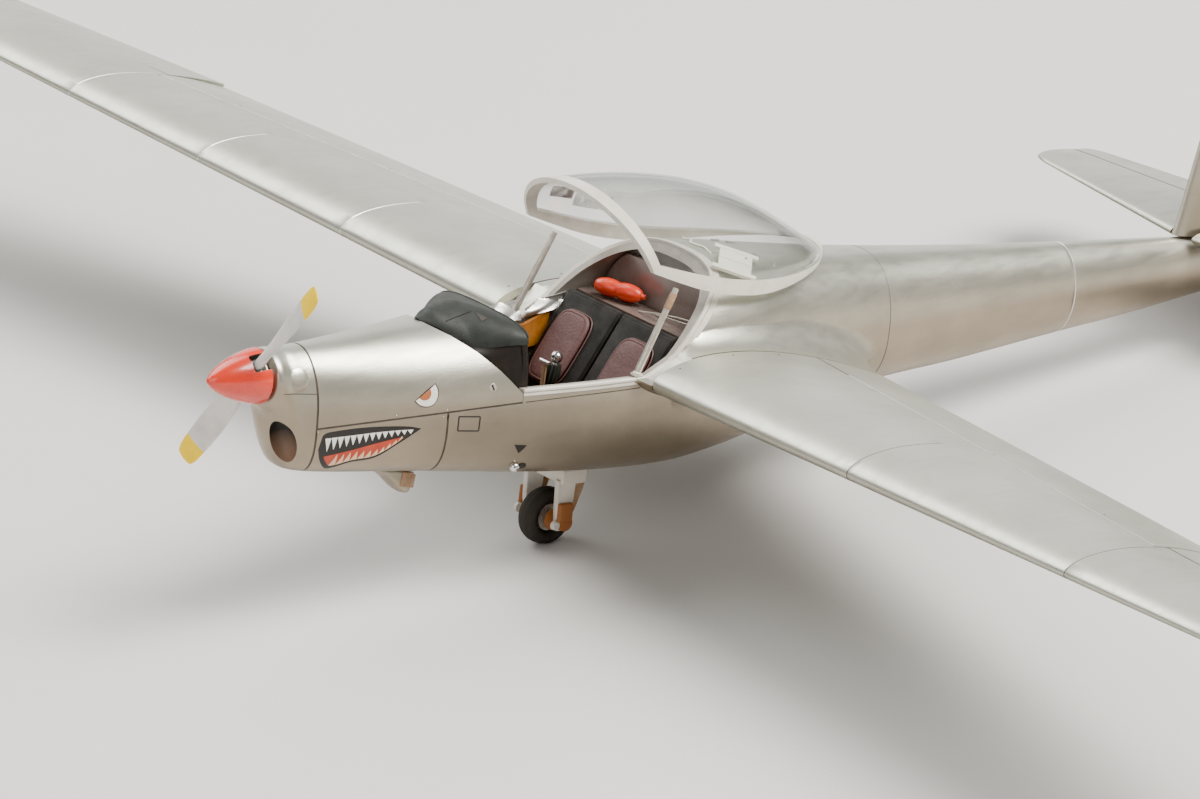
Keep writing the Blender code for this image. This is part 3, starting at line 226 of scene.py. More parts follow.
class Mill:
    """Mesh work in millimetres of the model."""

    @staticmethod
    def sheet(across: int, along: int, place: Place) -> Mesh:
        """Bend a grid into a surface and weld what meets.

        Args:
            across: Faces in the first direction.
            along: Faces in the second direction.
            place: Point of the surface for two shares from 0 to 1.

        Returns:
            The bent grid.
        """
        mesh = bmesh.new()
        bmesh.ops.create_grid(mesh, x_segments=across, y_segments=along, size=0.5)
        for vert in mesh.verts:
            vert.co = place(vert.co.x + 0.5, vert.co.y + 0.5)
        bmesh.ops.remove_doubles(mesh, verts=mesh.verts, dist=WELD)
        return mesh

    @staticmethod
    def close(mesh: Mesh) -> None:
        """Fill the open rims of a mesh."""
        bmesh.ops.holes_fill(mesh, edges=[edge for edge in mesh.edges if edge.is_boundary], sides=0)

    @staticmethod
    def loft(rings: Sequence[Sequence[Vector]], caps: bool = True) -> Mesh:
        """Skin a row of closed rings that have the same number of points, and cap both ends."""
        around, last = len(rings[0]), len(rings) - 1
        mesh = Mill.sheet(around, last, lambda u, v: rings[round(v * last)][round(u * around) % around])
        if caps:
            Mill.close(mesh)
        bmesh.ops.recalc_face_normals(mesh, faces=mesh.faces)
        return mesh

    @staticmethod
    def keep_side(mesh: Mesh, point: Vector, normal: Vector) -> None:
        """Cut a closed mesh by a plane, keep what lies behind the normal and close the cut."""
        bmesh.ops.bisect_plane(mesh, geom=mesh.verts[:] + mesh.edges[:] + mesh.faces[:], dist=1e-5,
                               plane_co=point, plane_no=normal, clear_outer=True)
        Mill.close(mesh)

    @staticmethod
    def box(low: Row, high: Row, bevel: float = 0.0, segments: int = 2) -> Mesh:
        """Box between two opposite corners with rounded edges."""
        mesh = bmesh.new()
        size = [abs(b - a) for a, b in zip(low, high)]
        middle = [(a + b) / 2 for a, b in zip(low, high)]
        bmesh.ops.create_cube(mesh, size=1.0, matrix=Matrix.Translation(middle) @ Matrix.Diagonal((*size, 1)))
        return Mill.round_edges(mesh, bevel, segments) if bevel else mesh

    @staticmethod
    def round_edges(mesh: Mesh, width: float, segments: int = 2, sharper: float = 40.0) -> Mesh:
        """Bevel the edges whose faces turn by more than an angle in degrees."""
        bmesh.ops.recalc_face_normals(mesh, faces=mesh.faces)
        picked = [e for e in mesh.edges
                  if len(e.link_faces) == 2 and e.calc_face_angle(0.0) > math.radians(sharper)]
        bmesh.ops.bevel(mesh, geom=picked, offset=width, affect="EDGES", segments=segments,
                        profile=0.5, material=-1, clamp_overlap=True)
        return mesh

    @staticmethod
    def bar(start: Row, end: Row, radius: float, end_radius: float | None = None, sides: int = 24,
            bevel: float = 0.0) -> Mesh:
        """Round bar or cone from start to end."""
        mesh = bmesh.new()
        a, b = Vector(start), Vector(end)
        turn = (b - a).to_track_quat("Z", "Y").to_matrix().to_4x4()
        bmesh.ops.create_cone(mesh, cap_ends=True, cap_tris=False, segments=sides, radius1=radius,
                              radius2=radius if end_radius is None else end_radius, depth=(b - a).length,
                              matrix=Matrix.Translation((a + b) / 2) @ turn)
        return Mill.round_edges(mesh, bevel, 3, 60.0) if bevel else mesh

    @staticmethod
    def ball(centre: Row, radii: Row, turn: Matrix | None = None, sides: int = 32) -> Mesh:
        """Ball or ellipsoid about a centre."""
        mesh = bmesh.new()
        bmesh.ops.create_uvsphere(mesh, u_segments=sides, v_segments=sides // 2, radius=1.0,
                                  matrix=Matrix.Translation(centre) @ (turn or Matrix.Identity(4))
                                  @ Matrix.Diagonal((*radii, 1)))
        return mesh

    @staticmethod
    def turned(profile: Sequence[Row], centre: Row, axis: str, sides: int = 64, caps: bool = True) -> Mesh:
        """Turn a profile of radii and places about the X or the Y axis through a centre."""
        rings = [[Vector((place, radius * c, radius * s) if axis == "X" else (radius * c, place, radius * s))
                  + Vector(centre) for c, s in circle(sides)] for radius, place in profile]
        return Mill.loft(rings, caps)

    @staticmethod
    def prism(outline: Sequence[Row], low: float, high: float) -> Mesh:
        """A (y, z) outline carried across the model from x = low to x = high."""
        return Mill.loft([[Vector((x, y, z)) for y, z in outline] for x in (low, high)])

    @staticmethod
    def tube(path: Sequence[Row], radius: float, sides: int = 10) -> Mesh:
        """Round wire along a path."""
        points = [Vector(p) for p in path]
        rings = []
        for k, point in enumerate(points):
            ahead = (points[min(k + 1, len(points) - 1)] - points[max(k - 1, 0)]).normalized()
            level = ahead.cross(UP)
            level = level.normalized() if level.length > 1e-3 else Vector((1, 0, 0))
            upright = level.cross(ahead)
            rings.append([point + radius * (level * c + upright * s) for c, s in circle(sides)])
        return Mill.loft(rings)

    @staticmethod
    def merge(parts: Iterable[Mesh]) -> Mesh:
        """Gather several meshes into one."""
        whole = bmesh.new()
        for part in parts:
            data = bpy.data.meshes.new("part")
            part.to_mesh(data)
            part.free()
            whole.from_mesh(data)
            bpy.data.meshes.remove(data)
        return whole

    @staticmethod
    def move(mesh: Mesh, matrix: Matrix) -> Mesh:
        """Move every point of a mesh."""
        bmesh.ops.transform(mesh, matrix=matrix, verts=mesh.verts)
        return mesh

    @staticmethod
    def other_side(mesh: Mesh, side: Side) -> Mesh:
        """Mirror a port mesh when the side is starboard."""
        if side is Side.STARBOARD:
            bmesh.ops.scale(mesh, vec=(-1, 1, 1), verts=mesh.verts)
            bmesh.ops.reverse_faces(mesh, faces=mesh.faces)
        return mesh

    @staticmethod
    def thicken(mesh: Mesh, depth: float) -> Mesh:
        """Give a sheet a wall on the side its faces look away from."""
        bmesh.ops.solidify(mesh, geom=mesh.faces[:], thickness=depth)
        return mesh

    @staticmethod
    def carve(body: Mesh, tools: Sequence[tuple[Mesh, Carve]]) -> Mesh:
        """Set tools against a body with exact Booleans.

        Args:
            body: The body, which is used up.
            tools: Each tool with what it does; its faces keep their material index.

        Returns:
            The carved body.
        """
        used: list[bpy.types.Object] = []
        for mesh, _ in [(body, None), *tools]:
            bmesh.ops.recalc_face_normals(mesh, faces=mesh.faces)
            data = bpy.data.meshes.new("blank")
            mesh.to_mesh(data)
            mesh.free()
            for _ in range(3):
                data.materials.append(None)
            used.append(bpy.data.objects.new("blank", data))
            bpy.context.scene.collection.objects.link(used[-1])
        for tool, (_, how) in zip(used[1:], tools):
            step = used[0].modifiers.new("carve", "BOOLEAN")
            step.object, step.operation, step.solver = tool, how.value, "EXACT"
        bpy.context.view_layer.update()
        result = bmesh.new()
        result.from_mesh(used[0].evaluated_get(bpy.context.evaluated_depsgraph_get()).data)
        for blank in used:
            data = blank.data
            bpy.data.objects.remove(blank)
            bpy.data.meshes.remove(data)
        bmesh.ops.remove_doubles(result, verts=result.verts, dist=WELD)
        return result

    @staticmethod
    def tint(mesh: Mesh, index: int = 1, test: Callable[[Vector], bool] | None = None) -> Mesh:
        """Give faces, all or those whose middle passes the test, a material index."""
        for face in mesh.faces:
            if test is None or test(face.calc_center_median()):
                face.material_index = index
        return mesh


class Wiring:
    """A material while its nodes are being joined."""

    def __init__(self, name: str) -> None:
        """Start from a plain Principled material."""
        self.material = bpy.data.materials.new(name)
        self.material.use_nodes = True
        self.tree = self.material.node_tree
        self.shader = self.tree.nodes["Principled BSDF"]
        self.place = self.tree.nodes.new("ShaderNodeTexCoord").outputs["Object"]

    def node(self, kind: str, inputs: dict[Any, Any], **settings: Any) -> bpy.types.Node:
        """Add a node.

        Args:
            kind: Blender's name of the node, without its prefix.
            inputs: Value or output for each named or numbered input.
            **settings: Properties of the node.

        Returns:
            The node.
        """
        made = self.tree.nodes.new("ShaderNode" + kind)
        for key, value in settings.items():
            setattr(made, key, value)
        for key, value in inputs.items():
            if isinstance(value, Socket):
                self.tree.links.new(value, made.inputs[key])
            else:
                made.inputs[key].default_value = value
        return made

    def noise(self, size: float, detail: float = 4.0, stretch: Row = (1, 1, 1)) -> Socket:
        """Noise with features about size millimetres wide."""
        turned = self.node("Mapping", {"Vector": self.place, "Scale": stretch}).outputs[0]
        return self.node("TexNoise", {"Vector": turned, "Scale": 1 / (size * MM), "Detail": detail,
                                      "Roughness": 0.6}).outputs[0]

    def cells(self, size: float) -> Socket:
        """Distance to the nearest of scattered points, size millimetres apart."""
        return self.node("TexVoronoi", {"Vector": self.place, "Scale": 1 / (size * MM)}).outputs["Distance"]

    def span(self, value: Socket, low: float, high: float, first: float = 0.0, last: float = 1.0) -> Socket:
        """Map low..high to first..last."""
        return self.node("MapRange", {"Value": value, "From Min": low, "From Max": high,
                                      "To Min": first, "To Max": last}).outputs[0]

    def mix(self, share: Any, a: Any, b: Any) -> Socket:
        """Mix two colours."""
        a, b = (colour if isinstance(colour, Socket) else (*colour, 1.0) for colour in (a, b))
        return self.node("Mix", {0: share, 6: a, 7: b}, data_type="RGBA").outputs[2]

    def bump(self, height: Socket, depth: float, strength: float = 1.0,
             under: Socket | None = None) -> Socket:
        """Raise the surface by depth millimetres where height is 1."""
        inputs = {"Height": height, "Distance": depth * MM, "Strength": strength}
        if under is not None:
            inputs["Normal"] = under
        return self.node("Bump", inputs).outputs[0]

    def join(self, output: Socket, name: str) -> None:
        """Lead an output to one of the shader's inputs."""
        self.tree.links.new(output, self.shader.inputs[name])

    def set(self, **values: float) -> None:
        """Set constants on the shader's own sockets; underscores stand for spaces."""
        for key, value in values.items():
            self.shader.inputs[key.replace("_", " ")].default_value = value


@dataclass(frozen=True)
class Finish:
    """Brushed model paint: slightly uneven in colour and gloss, with a fine grain.

    Attributes:
        name: Material name.
        slot: The record's material slot.
        colour: Main colour.
        low: Colour of its darker patches.
        roughness: Middle of its roughness.
        metallic: Share of metal.
        patch: Size of the uneven patches, mm.
        grain: Size of the grain, mm.
        grain_depth: Height of the grain, mm.
        coat: Weight of the clear coat.
        shine: Strength of its plain reflection.
    """

    name: str
    slot: str
    colour: Colour
    low: Colour
    roughness: float = 0.5
    metallic: float = 0.0
    patch: float = 4.0
    grain: float = 0.3
    grain_depth: float = 0.02
    coat: float = 0.0
    shine: float = 0.5

    @property
    def material(self) -> bpy.types.Material:
        """The material, wired on first use."""
        found = bpy.data.materials.get(self.name)
        if found:
            return found
        wiring = Wiring(self.name)
        wiring.set(Metallic=self.metallic, Coat_Weight=self.coat, Coat_Roughness=0.12,
                   Specular_IOR_Level=self.shine)
        self.wire(wiring)
        return wiring.material

    def wire(self, wiring: Wiring) -> None:
        """Join colour, gloss and grain."""
        patches = wiring.noise(self.patch)
        fine = wiring.noise(self.grain, 3.0)
        colour = wiring.mix(wiring.span(patches, 0.35, 0.68), self.low, self.colour)
        colour = wiring.mix(wiring.span(fine, 0.3, 0.75, 0.0, 0.18), colour, self.low)
        wiring.join(colour, "Base Color")
        wiring.join(wiring.span(patches, 0.3, 0.7, self.roughness + 0.07, self.roughness - 0.05), "Roughness")
        wiring.join(wiring.bump(fine, self.grain_depth), "Normal")


@dataclass(frozen=True)
class SilverLacquer(Finish):
    """Silver lacquer with metal flake, with painted shade and a painted warm reflection on surfaces that do
    not face up.

    Attributes:
        side: Colour of surfaces that do not face up: painted shade with a painted warm, champagne reflection.
        side_low: Darker patches there.
        flake: Size of the metal flakes, mm.
    """

    # painted shade and painted warm reflection on surfaces that do not face up
    side: Colour = (0.36, 0.297, 0.222)
    side_low: Colour = (0.29, 0.24, 0.18)
    flake: float = 0.16

    def wire(self, wiring: Wiring) -> None:
        """Join the upward tone and the painted shade tone, the flake, faint streaks of handling and the
        gloss.
        """
        # share of painted shade and painted warm reflection, from how far each normal turns from up
        facing = wiring.node("Attribute", {}, attribute_name="underside").outputs["Fac"]
        patches = wiring.noise(self.patch)
        streaks = wiring.noise(1.2, 4.0, (1.0, 0.16, 1.0))
        flakes = wiring.cells(self.flake)
        mixed = wiring.span(patches, 0.34, 0.68)
        up, down = wiring.mix(mixed, self.low, self.colour), wiring.mix(mixed, self.side_low, self.side)
        colour = wiring.mix(facing, up, down)
        colour = wiring.mix(wiring.span(streaks, 0.56, 0.8, 0.0, 0.3), colour, self.side_low)
        colour = wiring.mix(wiring.span(flakes, 0.05, 0.6, 0.0, 0.16), colour, self.side_low)
        wiring.join(colour, "Base Color")
        wiring.join(wiring.span(streaks, 0.3, 0.75, self.roughness - 0.04, self.roughness + 0.1), "Roughness")
        sand = wiring.bump(wiring.noise(self.grain, 2.0), self.grain_depth)
        wiring.join(wiring.bump(flakes, self.grain_depth * 0.5, 0.7, sand), "Normal")


@dataclass(frozen=True)
class Hide(Finish):
    """Moulded upholstery: pebbled skin, worn lighter on its high places."""

    pebble: float = 0.34

    def wire(self, wiring: Wiring) -> None:
        """Join pebbles, wear and gloss."""
        pebbles = wiring.cells(self.pebble)
        wear = wiring.noise(self.patch, 5.0)
        colour = wiring.mix(wiring.span(wear, 0.35, 0.7), self.low, self.colour)
        wiring.join(wiring.mix(wiring.span(pebbles, 0.1, 0.6, 0.35, 0.0), self.low, colour), "Base Color")
        wiring.join(wiring.span(wear, 0.3, 0.7, self.roughness + 0.08, self.roughness - 0.1), "Roughness")
        wiring.join(wiring.bump(pebbles, self.grain_depth, 0.8, wiring.bump(wear, 0.08, 0.6)), "Normal")


@dataclass(frozen=True)
class ClearSheet(Finish):
    """Thin clear moulding: seen through from the front, mirror-like at a glance.

    Attributes:
        edge: How opaque it grows towards its edges.
        tint: How much the dust on it hides.
    """

    edge: float = 0.95
    tint: float = 0.1

    def wire(self, wiring: Wiring) -> None:
        """Join the gloss that grows towards the edge, and a film of dust."""
        dust = wiring.noise(self.patch, 5.0)
        facing = wiring.node("LayerWeight", {"Blend": 0.5}).outputs["Facing"]
        curve = wiring.node("Math", {0: facing, 1: 3.2}, operation="POWER").outputs[0]
        gloss = wiring.node("Math", {0: curve, 1: self.edge}, operation="MULTIPLY").outputs[0]
        film = wiring.span(dust, 0.35, 0.75, self.tint * 0.5, self.tint * 1.6)
        alpha = wiring.node("Math", {0: gloss, 1: film}, operation="ADD", use_clamp=True).outputs[0]
        wiring.join(alpha, "Alpha")
        wiring.join(wiring.mix(wiring.span(dust, 0.3, 0.7), self.low, self.colour), "Base Color")
        wiring.join(wiring.span(dust, 0.4, 0.7, self.roughness, self.roughness + 0.06), "Roughness")


@dataclass(frozen=True)
class Pocket(Finish):
    """Inside of the air intake: warm bare paint below, painted shade of a deep hole above.

    Attributes:
        foot: Frame height where the warm part starts, mm.
        head: Frame height where it ends, mm.
    """

    foot: float = 20.8
    head: float = 24.4

    def wire(self, wiring: Wiring) -> None:
        """Join the rise from warm paint to painted shade."""
        height = wiring.node("SeparateXYZ", {0: wiring.place}).outputs[2]
        rough = wiring.noise(self.patch, 4.0)
        rise = wiring.span(height, self.foot * MM, self.head * MM)
        wiring.join(wiring.mix(rise, self.colour, self.low), "Base Color")
        wiring.join(wiring.span(rough, 0.3, 0.7, self.roughness - 0.1, self.roughness + 0.1), "Roughness")
        wiring.join(wiring.bump(rough, self.grain_depth), "Normal")


SILVER = SilverLacquer("silver_lacquer", "silver_paint", (0.63, 0.635, 0.56), (0.545, 0.55, 0.48), 0.33, 0.82,
                       9.0, 0.22, 0.012)
# wing silver takes a paler painted shade on surfaces that do not face up
WING_SILVER = SilverLacquer("wing_silver_lacquer", "silver_paint", (0.63, 0.635, 0.56), (0.545, 0.55, 0.48),
                            0.36, 0.82, 9.0, 0.22, 0.012, side=(0.47, 0.46, 0.39),
                            side_low=(0.39, 0.375, 0.31))
SEAM = Finish("seam_shadow", "silver_paint", (0.1, 0.075, 0.055), (0.06, 0.045, 0.034), 0.6, 0.3, 1.5, 0.2,
              0.01)
# pale lines painted as highlights where seams and hinge lines catch light
PAINTED_SEAM_HIGHLIGHT = Finish("seam_bright", "silver_paint", (0.75, 0.74, 0.7), (0.6, 0.59, 0.55), 0.35, 0.6, 1.5, 0.2,
                    0.01)
# dark finish: paint on screw heads, and painted shade in holes, slots and hollows
DARK_PAINT_AND_PAINTED_SHADE = Finish("panel_line_wash", "black_trim", (0.05, 0.043, 0.036), (0.025, 0.02, 0.018), 0.75)
RED = Finish("spinner_red", "red_paint", (0.7, 0.04, 0.01), (0.56, 0.024, 0.007), 0.26, 0.0, 2.5, 0.4, 0.008,
             0.5)
BOTTLE_RED = Finish("bottle_red", "red_paint", (0.78, 0.05, 0.008), (0.6, 0.03, 0.005), 0.34, 0.0, 0.9, 0.3,
                    0.03, 0.3)
BLADE_WHITE = Finish("blade_white", "white_paint", (0.68, 0.65, 0.62), (0.56, 0.53, 0.5), 0.45, 0.0, 2.0,
                     0.35, 0.015, 0.0, 0.3)
TIP_YELLOW = Finish("tip_yellow", "white_paint", (1.0, 0.69, 0.0), (0.92, 0.6, 0.0), 0.5, 0.0, 1.2, 0.35,
                    0.015, 0.0, 0.2)
RIM_WHITE = Finish("rim_white", "white_paint", (0.73, 0.69, 0.62), (0.6, 0.56, 0.49), 0.4, 0.1, 2.5, 0.3,
                   0.02)
PLATE_CREAM = Finish("plate_cream", "white_paint", (0.92, 0.9, 0.78), (0.84, 0.81, 0.68), 0.45, 0.0, 2.0, 0.3,
                     0.01)
BULKHEAD_DARK = Finish("bulkhead_dark", "grey_paint", (0.24, 0.185, 0.165), (0.16, 0.12, 0.105), 0.22, 0.1,
                       5.0, 0.3, 0.01, 0.4)
FOIL = Finish("crumpled_foil_silver", "bright_metal", (0.82, 0.81, 0.78), (0.6, 0.59, 0.56), 0.28, 0.7, 1.2,
              0.2, 0.02)
BARE_TAN = Finish("bare_tan", "rust_brown", (0.42, 0.27, 0.17), (0.3, 0.18, 0.1), 0.5, 0.3, 1.0, 0.2, 0.03)
TAN_LIGHT = Finish("varnished_light_tan", "wood_tan", (0.62, 0.32, 0.06), (0.5, 0.24, 0.04), 0.34, 0.0, 1.4,
                   0.15, 0.02, 0.3)
HOOD_BROWN = Finish("hood_brown_black", "black_trim", (0.016, 0.011, 0.009), (0.009, 0.007, 0.006), 0.45, 0.0,
                    1.6, 0.25, 0.02, 0.0, 0.25)
CABIN_GREY = Finish("cabin_grey", "grey_paint", (0.33, 0.3, 0.26), (0.22, 0.195, 0.17), 0.5, 0.0, 3.0, 0.3,
                    0.03)
FLOOR_GREY = Finish("floor_grey", "grey_paint", (0.07, 0.065, 0.06), (0.04, 0.036, 0.034), 0.8, 0.0, 2.0,
                    0.35, 0.05)
BLACK = Finish("matt_black", "black_trim", (0.022, 0.026, 0.022), (0.012, 0.014, 0.012), 0.56, 0.0, 1.8, 0.22,
               0.03, 0.0, 0.35)
SEAT_BLACK = Finish("seat_black", "black_trim", (0.02, 0.017, 0.015), (0.009, 0.008, 0.007), 0.6, 0.0, 2.2,
                    0.25, 0.04, 0.0, 0.28)
UPHOLSTERY = Hide("upholstery_mauve", "upholstery", (0.185, 0.088, 0.082), (0.115, 0.052, 0.05), 0.62, 0.0,
                  2.6, 0.22, 0.03)
PIPING = Hide("upholstery_piping", "upholstery", (0.24, 0.135, 0.125), (0.13, 0.065, 0.06), 0.5, 0.0, 1.5,
              0.2, 0.03)
CLEAR = ClearSheet("clear_moulding", "clear_plastic", (0.5, 0.54, 0.5), (0.4, 0.44, 0.4), 0.07, 1.0, 14.0)
VENT_TINT = ClearSheet("vent_tint", "clear_plastic", (0.16, 0.02, 0.02), (0.1, 0.01, 0.01), 0.12, 0.0, 1.2,
                       0.3, 0.01, 0.0, 0.5, 0.3, 0.6)
VENT_MILK = ClearSheet("vent_milk", "clear_plastic", (0.8, 0.79, 0.75), (0.7, 0.69, 0.64), 0.3, 0.0, 1.2, 0.3,
                       0.01, 0.0, 0.5, 0.3, 0.45)
RUBBER = Finish("tyre_rubber", "tyre_rubber", (0.05, 0.04, 0.035), (0.025, 0.02, 0.018), 0.72, 0.0, 1.4, 0.18,
                0.04)
STEEL = Finish("bright_steel", "bright_metal", (0.72, 0.71, 0.7), (0.5, 0.49, 0.48), 0.16, 1.0, 1.0, 0.12,
               0.006)
ROD_GREY = Finish("rod_grey", "bright_metal", (0.58, 0.55, 0.5), (0.42, 0.37, 0.31), 0.35, 0.6, 0.9, 0.2,
                  0.015)
RUST = Finish("rust_brown", "rust_brown", (0.34, 0.12, 0.035), (0.15, 0.05, 0.02), 0.66, 0.25, 0.5, 0.12,
              0.06)
TAN = Finish("varnished_tan", "wood_tan", (0.52, 0.2, 0.035), (0.36, 0.12, 0.02), 0.36, 0.0, 1.4, 0.15, 0.02,
             0.3)
DIAL = Finish("dial_white", "white_paint", (0.72, 0.72, 0.68), (0.6, 0.6, 0.56), 0.5, 0.0, 1.0, 0.2, 0.01)
INTAKE = Pocket("intake_lining", "rust_brown", (0.33, 0.2, 0.13), (0.012, 0.01, 0.009), 0.6, 0.2, 0.7)
PAINT_BLACK = Finish("marking_black", "black_trim", (0.013, 0.009, 0.008), (0.008, 0.006, 0.005), 0.5, 0.0,
                     1.5, 0.3, 0.006)
PAINT_WHITE = Finish("marking_white", "white_paint", (0.8, 0.78, 0.73), (0.72, 0.69, 0.63), 0.4, 0.0, 1.5,
                     0.3, 0.006)
PAINT_CREAM = Finish("marking_cream", "white_paint", (0.78, 0.56, 0.36), (0.68, 0.46, 0.28), 0.42, 0.0, 1.5,
                     0.3, 0.006)
PAINT_RED = Finish("marking_red", "red_paint", (0.52, 0.06, 0.02), (0.42, 0.04, 0.014), 0.4, 0.0, 1.5, 0.3,
                   0.006)
PAINT_DARK_BROWN = Finish("marking_dark_brown", "black_trim", (0.07, 0.032, 0.02), (0.045, 0.02, 0.013), 0.45,
                          0.0, 1.2, 0.3, 0.006)
PAINT_BROWN = Finish("marking_brown", "rust_brown", (0.4, 0.13, 0.04), (0.3, 0.09, 0.03), 0.42, 0.0, 1.2, 0.3,
                     0.006)
FLOOR_PALE = Finish("floor_pale", "grey_paint", (0.62, 0.61, 0.6), (0.6, 0.59, 0.58), 0.8, 0.0, 60.0, 1.0,
                    0.0)


class Bench:
    """Turns meshes in millimetres into pieces of the frame."""

    def __init__(self) -> None:
        """Find the stance from the main wheel, whose axle both descriptions share."""
        low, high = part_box("main_tyre")
        turn = Matrix.Rotation(-PARKED_PITCH, 4, "X")
        axle = turn @ (Vector((0.0, *MAIN_AXLE)) * MM)
        self.stance = Matrix.Translation((low + high) / 2 - axle) @ turn @ Matrix.Scale(MM, 4)

    def piece(self, name: str, mesh: Mesh, *finishes: Finish, body: Body = Body.AIRFRAME,
              stands_for: Sequence[str] = (), sharp: float = 38.0) -> None:
        """Make a finished piece.

        Args:
            name: Name of the piece.
            mesh: Mesh in millimetres, which is used up.
            *finishes: One finish for each material index.
            body: The CAD body it rides on.
            stands_for: CAD nodes that it replaces.
            sharp: Edges that turn by more than this, in degrees, stay sharp.
        """
        bmesh.ops.remove_doubles(mesh, verts=mesh.verts, dist=WELD)
        bmesh.ops.recalc_face_normals(mesh, faces=mesh.faces)
        mesh.transform(self.stance)
        data = bpy.data.meshes.new(name)
        mesh.to_mesh(data)
        mesh.free()
        data.shade_smooth()
        data.set_sharp_from_angle(angle=math.radians(sharp))
        # share of painted shade and painted warm reflection that silver takes, from how far each corner's
        # normal turns from up
        facing = [min(max((UNSHADED_UPWARD - corner.vector.z) / UNSHADED_UPWARD, 0.0), 1.0) for corner in data.corner_normals]
        data.attributes.new("underside", "FLOAT", "CORNER").data.foreach_set("value", facing)
        for finish in finishes:
            data.materials.append(finish.material)
        made = bpy.data.objects.new(name, data)
        bpy.context.scene.collection.objects.link(made)
        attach(made, body.value)
        if stands_for:
            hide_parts(*stands_for)
        LOG.info("%s: %d faces", name, len(data.polygons))

    def dressed(self, node: str, mesh: Mesh, *finishes: Finish, **settings: Any) -> None:
        """Make the fine piece that replaces a CAD node."""
        self.piece(node + "_dressed", mesh, *finishes, stands_for=[node], **settings)


